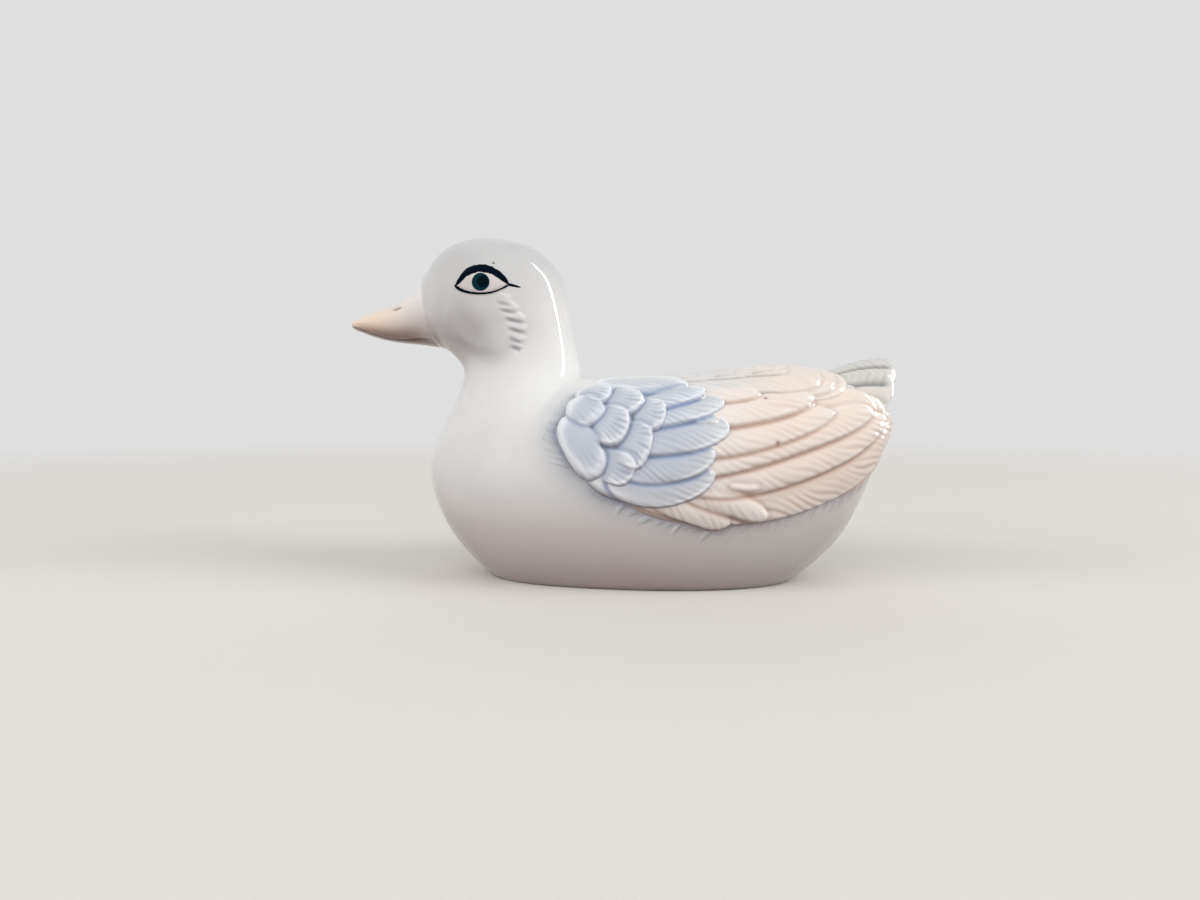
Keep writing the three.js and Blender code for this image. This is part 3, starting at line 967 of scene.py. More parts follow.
# The same cream, which turns pale grey up the back and then white at the neck
MANTLE_GLAZE = replace(
    CREAM_GLAZE,
    name="glazed_cream_fading_to_white",
    washes=(
        ("wash", "#E6E5E3", 1.0),
        ("fade", "#EEECED", 1.0),
        ("low", "#D8C8BE", 0.5),
        ("thin_and_highlight", "#F6EEE6", 0.6),
        ("pool", "#9C928A", 0.75),
    ),
)
# Off-white tail with grey grooves and an ochre tint at its root
GREY_GLAZE = Glaze(
    "glazed_sprayed_grey",
    "#E6E1DA",
    (
        ("wash", "#DBDAD5", 0.9),
        ("root", "#CDBE9F", 0.6),
        ("pool", "#70706E", 0.85),
        ("thin_and_highlight", "#EDECEA", 0.7),
    ),
)
# White that turns peach toward the bill's tip, and brown underneath, partly its own tint and partly painted
# shade, with a brown mouth line
PEACH_GLAZE = Glaze(
    "glazed_sprayed_peach",
    "#F4EEEA",
    (("wash", "#FBE4CF", 0.95), ("under", "#824626", 1.0), ("pool", "#6E4E42", 0.8)),
)
# Brushed enamel: an off-white ground with a soft shade at its edge, and dull dark lines
EYE_WHITE = Glaze("painted_eye_white", "#E6E0DC", (("pool", "#A9A3A6", 0.6),), glow=0.0)
LINE_ENAMEL = Glaze(
    "painted_navy_enamel",
    "#02101F",
    (("thin_and_highlight", "#0E3650", 0.5),),
    mottle=0.2,
    roughness=0.35,
    glow=0.0,
    coat=0.0,
    specular=0.04,
)
IRIS_ENAMEL = replace(
    LINE_ENAMEL, name="painted_teal_enamel", body="#0A3440", washes=(("pool", "#02090E", 0.95),)
)


# Sub-assemblies


def finish_piece(piece: bpy.types.Object, material: bpy.types.Material, slot: str, *nodes: str) -> None:
    """Dresses a piece, lets it ride on the body, hides the CAD nodes that it replaces, and reports its face
    count.

    Args:
        piece: The piece.
        material: Its finish.
        slot: Its slot's name, not used.
        nodes: The CAD nodes that it replaces.
    """
    piece.data.materials.append(material)
    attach(piece, "root")
    if nodes:
        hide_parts(*nodes)
    LOG.info("%s: %d faces", piece.name, len(piece.data.polygons))


def wing_line(away: Array) -> Array:
    """How much pooled glaze and painted shade line a wing's edge, by the distance from it in mm."""
    return 0.75 * bump(np.clip(away - 0.1, 0, 9) / 0.75)


@dataclass
class Wing:
    """A wing: long flight feathers, longer coverts over them and small scalloped coverts in front."""

    hull: Hull
    flight: tuple[Feather, ...] = (
        Feather((8.6, 84), (5.2, 86), (1.2, 76), 15, 11, 1.1),
        Feather((7, 58), (4.5, 50), (2.3, 50), 7, 9, 0.8, Kind.VANE),
        Feather((8.6, 86), (4.4, 114), (0.8, 80), 4.6, 4.6, 1.7, Kind.FLIGHT),
        Feather((7.9, 90), (7, 96), (6.3, 104.5), 3.3, 3.0, 1.9, Kind.SHORT),
        Feather((7.3, 88), (6.3, 94), (5.5, 105), 2.6, 2.4, 2.1, Kind.SHORT),
        Feather((7.3, 86.5), (5.1, 92.8), (1.7, 72.4), 4.4, 2.8, 2.1, Kind.FLIGHT),
        Feather((7.3, 81), (5.3, 76), (2.4, 61), 4.8, 2.6, 2.2, Kind.FLIGHT),
        Feather((7.3, 70), (6, 73), (3.8, 58), 5.0, 2.7, 2.45, Kind.FLIGHT),
        Feather((7.3, 54.5), (5.9, 58), (4.3, 45), 5.0, 3.3, 2.75, Kind.FLIGHT),
        Feather((7.4, 41), (6.3, 44), (5.6, 39.2), 3.4, 2.8, 2.5, Kind.FLIGHT),
        Feather((6.3, 88.3), (6.0, 90.3), (5.7, 90.8), 0.9, 0.6, 1.8, Kind.PLAIN),
    )
    # Two iron specks in the glaze of the flight feathers, and their size in mm
    specks: tuple[Place, ...] = ((5.51, 47), (5.28, 72))
    speck_size: float = 0.45
    secondary: tuple[Feather, ...] = (
        Feather((9.2, 60), (8, 64), (6.52, 62), 12, 12, 1.6, Kind.PAD),
        Feather((9.4, 78), (8.8, 89), (7.2, 91), 5.0, 2.8, 2.0),
        Feather((9.6, 33), (8.4, 31), (7.1, 33), 5.0, 3.6, 2.3, Kind.VANE),
        Feather((8.8, 83), (7.8, 94), (6.6, 81.5), 4.8, 3.4, 2.4, Kind.COVERT),
        Feather((8.7, 77.5), (7.5, 82), (6.6, 73.3), 4.9, 3.1, 2.6, Kind.COVERT),
        Feather((8.5, 67.5), (7.2, 67.7), (6.3, 61.3), 4.9, 3.4, 2.8, Kind.COVERT),
        Feather((8.3, 57.5), (7.2, 54), (6.4, 48), 4.2, 2.8, 2.9, Kind.COVERT),
        Feather((8.3, 50), (7.4, 42.7), (6.8, 39.3), 3.4, 3.0, 3.0, Kind.COVERT),
    )
    small: tuple[Feather, ...] = (
        Feather((10.2, 50), (9.4, 62), (8.2, 64), 8.2, 8.2, 2.0),
        Feather((8.6, 48), (7.9, 54.5), (7.6, 56), 4.2, 4.2, 3.0, Kind.SCALLOP),
        Feather((8.9, 62), (8.2, 70), (7.9, 72.2), 5.3, 5.0, 3.0, Kind.SCALLOP),
        Feather((9.3, 74), (8.6, 77), (8.2, 79.7), 3.2, 4.2, 2.7, Kind.SCALLOP),
        Feather((9.3, 38), (8.5, 44.5), (8.1, 47.8), 3.4, 4.6, 3.1, Kind.SCALLOP),
        Feather((9.6, 54), (8.8, 60), (8.4, 63.3), 5.0, 4.5, 3.2, Kind.SCALLOP),
        Feather((10.3, 36), (9.2, 41), (8.9, 42.5), 3.4, 3.6, 3.2, Kind.SCALLOP),
        Feather((10.45, 55), (9.5, 73.5), (9, 82), 4.6, 3.8, 3.1, Kind.PLAIN),
        Feather((10.5, 46), (9.5, 51.3), (9.1, 56.4), 3.8, 3.8, 3.2, Kind.PLAIN),
    )
    # How deep the border of the lowest layer dives, and that of the others, in mm
    low_dive: float = 0.9
    dive: float = 0.7
    # The fringe: how deep its plate lies in the body, how high its strokes stand, and its margin, in mm
    fringe_depth: float = 0.06
    fringe_rise: float = 0.3
    fringe_margin: float = 6.5

    @property
    def feathers(self) -> tuple[Feather, ...]:
        """All the wing's feathers from the lowest to the top one."""
        return self.flight + self.secondary + self.small

    def build(self) -> None:
        """Builds and dresses the three layers and the fringe on both sides."""
        cream, blue = CREAM_GLAZE.material(), BLUE_GLAZE.material()
        both = self.flight + self.secondary
        layers = (
            ("flight_feathers", (), self.flight, 0.24, cream, "cream_glaze", self.cream_masks),
            ("secondary_coverts", self.flight, self.secondary, 0.17, blue, "blue_glaze", self.blue_masks),
            ("small_coverts", both, self.small, 0.16, blue, "blue_glaze", self.blue_masks),
        )
        for name, under, over, spacing, material, slot, masks in layers:
            patch = Patch.over(self.hull, over, spacing)
            relief = patch.relief(under)
            relief.inside[:] = NOWHERE
            relief.lay(self.hull, patch.point, over)
            shell = patch.plate(relief, self.dive if under else self.low_dive, masks(patch))
            for side in Side:
                label = f"{side.label}_{name}"
                finish_piece(shell.piece(f"{label}_relief", side), material, slot, label)
        white, shell = WHITE_GLAZE.material(), self.fringe()
        for side in Side:
            finish_piece(shell.piece(f"{side.label}_wing_fringe", side), white, "white_glaze")

    def cream_masks(self, patch: Patch) -> dict[str, Array]:
        """Masks of the flight feathers.

        Args:
            patch: Their grid.

        Returns:
            Overspray, strong beside the coverts and gone two stations behind them, and the specks.
        """
        at = [self.hull.point(*speck) for speck in self.specks]
        away = [np.linalg.norm(patch.point - spot, axis=-1) for spot in at]
        return {
            "wash": smoothstep(4.9, 6.9, patch.station + 0.012 * (patch.degrees - 60)),
            "speck": sum(bump(distance / self.speck_size) for distance in away),
        }

    @staticmethod
    def blue_masks(patch: Patch) -> dict[str, Array]:
        """The mask of the coverts.

        Args:
            patch: Their grid.

        Returns:
            Where the blue thins to white: at the long ones' ends, along the back, at the front edge
            and a little along the lower one.
        """
        rear = smoothstep(7.4, 6.4, patch.station)
        top = smoothstep(40, 28, patch.degrees)
        front = 0.7 * smoothstep(9.9, 10.6, patch.station + 0.02 * (50 - patch.degrees))
        low = 0.5 * smoothstep(78, 90, patch.degrees)
        return {"wash": np.clip(rear + top + front + low, 0, 1)}

    @staticmethod
    def overspray_and_shade(station: Array, degrees: Array, away: Array) -> dict[str, Array]:
        """Overspray and painted shade on the body round a wing.

        Args:
            station: Stations of the grid.
            degrees: Its degrees.
            away: Its distance from the wing in mm.

        Returns:
            Grey-blue overspray in front of the coverts and under them, and painted shade under the wing's
            rear half. Each fades with the distance as exp(-(away / reach)^1.2).
        """
        front = smoothstep(9.0, 10.2, station) * smoothstep(20, 50, degrees)
        below = smoothstep(84, 90, degrees)
        low = below * smoothstep(5.5, 9.2, station)
        rear = below * window(station, 0.8, 2.0, 6.0, 8.0)
        away = np.clip(away, 0, 30)
        return {
            "spray": np.exp(-((away / 2.0) ** 1.2)) * np.clip(front + low, 0, 1),
            "painted_shade": 0.35 * np.exp(-((away / 3.0) ** 1.2)) * rear,
        }

    def fringe(self) -> Shell:
        """Hair-like strokes on the body round the wing.

        Returns:
            A plate that lies just under the body's glaze, with strokes that rise through it. Each is
            a ridge of its own length that runs out from the wing at a slant, numbered along the
            wing's border.
        """
        patch = Patch.over(self.hull, self.feathers, 0.3, self.fringe_margin)
        away = -soften(self.reach(patch.point), 2)
        x, _, z = np.moveaxis(patch.point, -1, 0)
        station, degrees = patch.station, patch.degrees
        low = smoothstep(84, 92, degrees) * window(station, 2.0, 3.0, 9.0, 10.2)
        front = smoothstep(9.0, 9.9, station) * window(degrees, 30, 44, 76, 86)
        ridges = np.zeros_like(x)
        for area, number, length in (
            (low, (x + 0.9 * away) / 2.4 + 0.25 * np.sin(0.35 * x), 3.6),
            (front, (z - 0.5 * away) / 2.0 + 0.25 * np.sin(0.8 * z), 4.6),
        ):
            wave, own = waves(number, 7.0, 1.2)
            end = length * (0.45 + 0.55 * own)
            ridges += wave * window(away, 0.0, 0.6, 0.3 * end, end) * area * (0.5 + 0.5 * own)
        height = (self.fringe_depth + self.fringe_rise) * ridges - self.fringe_depth
        height -= 0.6 * smoothstep(0.2, -0.6, away)
        masks = {"bare": np.zeros_like(height), **self.overspray_and_shade(station, degrees, away)}
        masks["pool"] = wing_line(away) + 0.2 * (1 - ridges) * smoothstep(3, 1, away)
        return patch.slab(height, masks)

    def reach(self, points: Array) -> Array:
        """How far inside the wing's outline each point lies, in mm, negative outside it."""
        return Relief.of(self.hull, points, self.feathers).inside


@dataclass
class Mantle:
    """The back between the wings: long nested feathers with raised ends and a saddle of small ones."""

    hull: Hull
    middle: Feather = Feather((9.4, 0), (6.5, 0), (3.6, 0), 7, 7, 1.5, Kind.MANTLE)
    sides: tuple[Feather, ...] = (
        Feather((9.4, 16), (6.2, 12), (3.2, 33), 8.6, 10.2, 2.0, Kind.MANTLE),
        Feather((9.4, 17), (6.4, 12), (3.62, 32), 8.2, 9.8, 2.45, Kind.MANTLE),
        Feather((9.4, 18), (6.6, 13), (4.05, 31), 7.6, 9.0, 2.85, Kind.MANTLE),
    )
    # The saddle's rows from its rearmost tip on, in stations, and the degrees between its feathers
    saddle_rows: int = 11
    saddle_end: float = 4.9
    saddle_pitch: float = 0.42
    saddle_length: float = 1.25
    saddle_spread: float = 9.5
    saddle_half: float = 3.0
    saddle_rise: float = 2.7
    dive: float = 0.9

    def saddle(self) -> tuple[Feather, ...]:
        """The small feathers down the back.

        Returns:
            Short overlapping feathers, each row between those of the one before.
        """
        made = []
        half, rise = self.saddle_half, self.saddle_rise
        for row in range(self.saddle_rows):
            tip = self.saddle_end + row * self.saddle_pitch
            root = tip + self.saddle_length
            for place in (0.5, 1.5) if row % 2 else (0.0, 1.0, 2.0):
                turn = place * self.saddle_spread
                places = (root, turn), ((root + tip) / 2, turn + 1), (tip, turn + 1.5)
                small = Feather(*places, half, half, rise, Kind.SADDLE)
                made += [small, small.mirrored()] if place else [small]
        return tuple(made)

    def build(self) -> None:
        """Builds and dresses the back as one plate."""
        nested = (self.middle, *(one for feather in self.sides for one in (feather, feather.mirrored())))
        patch = Patch.over(self.hull, nested, 0.25)
        relief = patch.relief(nested + self.saddle())
        front = smoothstep(9.3, 8.0, patch.station)
        relief.height *= 0.3 * front + 0.7 * smoothstep(7.2, 4.4, patch.station)
        relief.pool *= front
        relief.thin_and_highlight *= front
        masks = {"wash": smoothstep(4.9, 6.9, patch.station), "fade": smoothstep(7.9, 9.0, patch.station)}
        shell = patch.plate(relief, self.dive, masks)
        piece = shell.piece("back_mantle_relief")
        finish_piece(piece, MANTLE_GLAZE.material(), "cream_glaze", "back_mantle")


@dataclass
class Bill:
    """The bill, a loft along x with a mouth groove, two nostrils and a sprayed tip."""

    hull: Hull
    # x along it, its top and bottom heights and half its width
    lines: tuple[tuple[float, ...], ...] = (
        (-70, 65, 64.4, 0.3),
        (-69.3, 66.1, 63.5, 3.7),
        (-67.3, 66.9, 62.8, 5.4),
        (-64.2, 68.1, 61.6, 6.3),
        (-60.5, 69.1, 60.6, 6.6),
        (-56.5, 70.4, 60, 6.8),
        (-53, 73, 59.7, 7.4),
        (-49, 76.6, 59.2, 8.2),
        (-45, 78.6, 58.5, 8.6),
        (-41, 78.6, 60.5, 8.0),
    )
    rings: int = 240
    sides: int = 200
    # The mouth's depth in mm, its degrees from the top at the tip and at the corner, and the corner's x
    mouth_cut: float = 0.28
    mouth: Place = (114.0, 146.0)
    corner_x: float = -50.5
    # The nostril's x and degrees, and half its length and height in mm
    nostril: Place = (-55.8, 58.0)
    nostril_half: Place = (1.7, 0.5)

    def build(self) -> None:
        """Builds and dresses the bill."""
        rows = np.array(self.lines, float)
        rows[:, 0] *= self.hull.long
        rows[:, 1:3] *= self.hull.tall
        rows = with_pole(rows, (0, 2, 1, 3), (1, 1, 1, -1))
        rows = np.vstack([rows, 2 * rows[-1] - rows[-2]])
        share = np.linspace(0, 1, self.rings) ** 1.25
        x, top, bottom, half = np.moveaxis(spline(rows, share * (len(self.lines) - 1)), -1, 0)[..., None]
        degrees = np.linspace(0, 360, self.sides, endpoint=False)[None]
        angle = np.radians(degrees)
        over = np.where(degrees > 180, 360 - degrees, degrees)
        tall = (top - bottom) / 2
        mm_per_degree = np.radians(1) * (half + tall) / 2
        below = (over - lerp(*self.mouth, smoothstep(-70, -58, x))) * mm_per_degree
        open_ = window(x, -69.5, -67.5, -48.2, -46.8)
        groove = bump(below / 0.38) * open_ * (0.4 + 0.85 * bump((x - self.corner_x) / 2.2))
        ahead, aside = x - self.nostril[0], (over - self.nostril[1]) * mm_per_degree
        slit = np.hypot(ahead / self.nostril_half[0], (aside - 0.25 * ahead) / self.nostril_half[1])
        hole = smoothstep(1.0, 0.35, slit)
        brow = bump((slit - 1.25) / 0.35) * smoothstep(self.nostril[1] + 2, self.nostril[1] - 6, over)
        relief = -self.mouth_cut * groove - 0.5 * hole + 0.15 * brow
        relief += 0.12 * bump((below + 0.7) / 0.5) * open_
        y, z = -half * np.sin(angle), (top + bottom) / 2 + tall * np.cos(angle)
        point = np.stack([np.broadcast_to(x, y.shape), y, z], -1)
        normal = np.cross(np.roll(point, -1, 1) - np.roll(point, 1, 1), np.gradient(point, axis=0))
        normal /= np.maximum(np.linalg.norm(normal, axis=-1, keepdims=True), 1e-9)
        normal[0] = (-1, 0, 0)
        # Brown underneath and below the mouth, partly the bill's own tint and partly painted shade
        under = 0.7 * smoothstep(98, 150, over) + 0.3 * smoothstep(-0.3, 0.7, below)
        masks = {
            "wash": smoothstep(-48, -66, x),
            "under": under * smoothstep(-44, -54, x),
            "pool": np.clip(0.7 * groove + hole, 0, 1),
        }
        shell = tube(point + normal * relief[..., None], masks).turned()
        finish_piece(shell.piece("glazed_bill"), PEACH_GLAZE.material(), "peach_glaze", "bill")


@dataclass(frozen=True)
class Brush:
    """A painted line: points forward and up from the eye's middle, and its half width along them, in mm."""

    points: tuple[Place, ...]
    half: tuple[float, ...]


@dataclass
class Eye:
    """An almond eye: a low white dome, lids and corner strokes in navy, a teal iris and a black pupil."""

    hull: Hull
    place: Place = (22.85, 86.0)
    # The dome's height and half its length and height, and how deep each part goes into the cheek, in mm
    dome: float = 0.34
    dome_half: Place = (7.0, 3.9)
    sunk: float = 0.5
    enamel: float = 0.13
    iris_at: Place = (-0.12, 0.28)
    iris_radius: float = 2.14
    lid: Brush = Brush(
        (
            (6.35, -0.5), (5.2, 0.65), (3.5, 2.4), (1.2, 3.35),
            (-0.5, 3.52), (-2.6, 3.15), (-4.6, 2.0), (-6.9, -0.35),
        ),
        (0.26, 0.66, 0.98, 1.06, 1.08, 1.08, 0.96, 0.46),
    )
    lower: Brush = Brush(
        ((6.3, -0.6), (5.0, -1.4), (2.5, -2.16), (-0.5, -2.48), (-3.0, -2.2), (-5.2, -1.35), (-6.9, -0.35)),
        (0.36, 0.4, 0.28, 0.24, 0.22, 0.2, 0.3),
    )
    tail: Brush = Brush(((-6.5, -0.25), (-8.3, -0.7), (-9.8, -1.12)), (0.42, 0.36, 0.16))
    tick: Brush = Brush(((6.75, -0.3), (6.2, -0.85), (5.6, -1.3)), (0.14, 0.3, 0.2))
    speck: Place = (-3.26, 5.15)
    speck_radius: float = 0.2

    def on_cheek(self, forward: Array, up: Array, height: Array) -> Array:
        """Points over the cheek.

        Args:
            forward: mm toward the bill from the eye's middle.
            up: mm upward from it.
            height: mm above the hull.

        Returns:
            Points in mm. The two directions lie in the hull's tangent plane at the eye's middle, and
            a step in it becomes a step in station and degrees through the plane's own basis.
        """
        onward, round_, normal = self.hull.frame(*(np.array(value) for value in self.place))
        ahead = unit(np.array((-1.0, 0, 0)) + normal[0] * normal)
        offset = forward[..., None] * ahead + up[..., None] * np.cross(ahead, normal)
        step = offset @ np.linalg.pinv(np.stack([onward, round_], -1)).T
        return self.hull.raised(self.place[0] + step[..., 0], self.place[1] + step[..., 1], height)

    def swell(self, forward: Array, up: Array) -> Array:
        """Height of the white dome at a place: full in its middle, and level with the cheek at its edge."""
        out = (forward / self.dome_half[0]) ** 2 + (up / self.dome_half[1]) ** 2
        return self.dome * np.clip(1 - out, 0, 1) ** 0.5

    def plate(self, forward: Array, up: Array, height: Array, masks: dict[str, Array]) -> Shell:
        """A thin closed plate on the cheek.

        Args:
            forward: mm toward the bill from the eye's middle, on a grid.
            up: mm upward from it.
            height: Height of its top, in mm above the hull.
            masks: Mask values on the grid.

        Returns:
            The plate, with its underside inside the cheek.
        """
        top = self.on_cheek(forward, up, height)
        bottom = self.on_cheek(forward, up, np.full_like(height, -self.sunk))
        return slab(top, bottom, masks)

    def white(self) -> Shell:
        """The eye's white.

        Returns:
            A plate over a grid from the lower lid's line to the upper lid's, with a shade at its edge.
        """
        share, rise = np.meshgrid(np.linspace(0.02, 0.98, 121), np.linspace(0, 1, 61), indexing="ij")
        low, high = curve(self.lower.points, share), curve(self.lid.points, share)
        forward, up = np.moveaxis(lerp(low, high, rise[..., None]), -1, 0)
        edge = np.minimum(rise, 1 - rise) * np.linalg.norm(high - low, axis=-1)
        height = 0.1 + self.swell(forward, up)
        return self.plate(forward, up, height, {"pool": smoothstep(1.1, 0.1, edge)})

    def stroke(self, brush: Brush, steps: int) -> Shell:
        """A brush line in relief.

        Args:
            brush: The line.
            steps: How many points it has along it.

        Returns:
            A plate along the line's curve, across which the enamel swells as the root of 1 - v^2. Its
            width wavers a little and is rounded off over the last six steps at each end.
        """
        share, across = np.meshgrid(np.linspace(0, 1, steps), np.linspace(-1, 1, 17), indexing="ij")
        line = curve(brush.points, share)
        half = np.interp(share, np.linspace(0, 1, len(brush.half)), brush.half)
        ends = np.clip(np.minimum(share, 1 - share) * steps / 6, 0, 1)
        half = half * np.sqrt(np.clip(1 - (1 - ends) ** 2, 0.02, 1))
        half = half * (1 + 0.05 * np.sin(23 * share) + 0.04 * np.sin(61 * share + 2))
        tangent = unit(np.gradient(line, axis=0))
        forward = line[..., 0] - tangent[..., 1] * across * half
        up = line[..., 1] + tangent[..., 0] * across * half
        full = np.sqrt(np.clip(1 - across**2, 0, 1))
        height = self.enamel * full + 0.04 + self.swell(forward, up)
        return self.plate(forward, up, height, {"thin_and_highlight": 0.6 * smoothstep(0.8, 0.0, full)})

    def disc(self, at: Place, radius: float, height: float, dark: Place, dark_size: float) -> Shell:
        """A painted disc on a skirt that goes into the cheek.

        Args:
            at: Its middle, forward and up in mm.
            radius: Its radius.
            height: How full it is in its middle.
            dark: The middle of its darker patch, from its own.
            dark_size: The patch's radius.

        Returns:
            The disc: rings round its middle, closed by a face there and one under the skirt.
        """
        size = np.concatenate([[1.0], np.linspace(1, 0.03, 33)])[:, None]
        turn = np.linspace(0, 2 * np.pi, 64, endpoint=False)[None]
        forward = at[0] + radius * size * np.cos(turn)
        up = at[1] + radius * size * np.sin(turn)
        lift = height * np.sqrt(np.clip(1.02 - size**4, 0, 1)) + 0.1 + self.swell(forward, up)
        lift[0] = -self.sunk
        off = np.hypot(forward - at[0] - dark[0], up - at[1] - dark[1])
        masks = {"pool": smoothstep(dark_size + 0.25, dark_size - 0.15, off)}
        return tube(self.on_cheek(forward, up, lift), masks)

    def build(self) -> None:
        """Builds and dresses both eyes."""
        white, navy, teal = EYE_WHITE.material(), LINE_ENAMEL.material(), IRIS_ENAMEL.material()
        parts = (
            ("eye_white", self.white(), white),
            ("upper_lid", self.stroke(self.lid, 97), navy),
            ("lower_lid", self.stroke(self.lower, 81), navy),
            ("eye_tail", self.stroke(self.tail, 33), navy),
            ("eye_tick", self.stroke(self.tick, 25), navy),
            ("iris", self.disc(self.iris_at, self.iris_radius, 0.1, (-0.55, 0.1), 1.35), teal),
            ("glaze_speck", self.disc(self.speck, self.speck_radius, 0.03, (0, 0), 0.3), teal),
        )
        for side in Side:
            for name, shell, material in parts:
                nodes = (f"{side.label}_eye",) if name == "eye_white" else ()
                finish_piece(shell.piece(f"{side.label}_{name}", side), material, "eye_enamel", *nodes)


@dataclass
class TailFan:
    """The upturned tail, an arched fan of feathers with a scalloped rear edge. Its sizes are in mm."""

    hull: Hull
    station: float = 4.25
    seat: float = 1.4
    lift: float = 5.4
    root_half: float = 7.5
    tip_half: float = 10.5
    droop: float = 9.0
    thickness: float = 4.2
    scallop: float = 0.5
    sweep: float = 3.0
    feathers: int = 5
    rings: int = 130
    across: int = 150
    # Grooves down each side: where they lie at the root and at the tip, as shares of the half width,
    # and how wide they are
    grooves: tuple[tuple[float, float, float], ...] = ((0.45, 0.42, 0.45), (1.0, 0.78, 0.55))

    def build(self) -> None:
        """Builds and dresses the tail.

        Each ring goes over the top and back underneath. Its middle line rises along the tail as a
        quarter sine, and falls away to both sides with the distance's power of 1.5. Its thickness is
        rounded off at the sides and over the last part of the length.
        """
        root_x, _, root_z = self.hull.point(self.station, 0.0)
        share = np.sin(np.linspace(0, np.pi / 2, self.rings))[:, None]
        turn = np.linspace(0, 2 * np.pi, 2 * self.across, endpoint=False)[None] - np.pi / 2
        side, upper = np.sin(turn), np.cos(turn) >= 0
        out = np.abs(side)
        half = lerp(self.root_half, self.tip_half, share**0.6)
        lobe = np.abs(np.sin(np.pi * (side + 1) * self.feathers / 2))
        edge = BOX_HIGH[0] - self.scallop * (1 - lobe) - self.sweep * side**2
        x = lerp(root_x, edge, share)
        ridge = root_z - self.seat + self.lift * np.sin(share * np.pi / 2 * 1.15)
        ridge = ridge - self.droop * out**1.5 * (0.35 + 0.65 * share)
        full = lerp(self.thickness, self.thickness * 0.75, share)
        round_tip = np.sqrt(np.clip(1 - np.clip((share - 0.88) / 0.12, 0, 1) ** 2, 0.0004, 1))
        round_side = (1 - out**5) ** 0.2
        thick = full / 2 * round_side * round_tip
        lines = (bump((out - lerp(root, tip, share)) * half / width) for root, tip, width in self.grooves)
        groove = sum(lines) * window(share, 0.05, 0.2, 0.86, 0.97)
        crown = 0.4 * smoothstep(0.1, 1.6, np.abs(out - lerp(1.0, 0.78, share)) * half)
        near = np.abs(out - lerp(0.7, 0.6, share)) * half
        barb, own = waves((x - root_x + 0.9 * near) / 1.9 + 0.13 * np.sin(9 * side), 3.0, 1.5)
        barb *= (0.4 + 0.6 * own) * window(share, 0.15, 0.35, 0.88, 0.98) * smoothstep(0.9, 0.7, out)
        relief = (crown - 0.55 * groove - 0.1 * barb) * round_tip * round_side
        z = ridge - full / 2 + np.where(upper, thick + relief, -thick)
        masks = {
            "pool": np.clip((0.95 * groove + 0.3 * barb) * upper, 0, 1),
            "thin_and_highlight": 0.4 * smoothstep(0.95, 0.99, share),
            "wash": smoothstep(0.1, -0.06, out - lerp(1.03, 0.81, share)),
            "root": smoothstep(0.5, 0.1, share) * smoothstep(0.3, 0.9, out),
        }
        shell = tube(np.stack([x, half * side, z], -1), masks)
        finish_piece(shell.piece("glazed_tail_fan"), GREY_GLAZE.material(), "grey_glaze", "tail_fan")


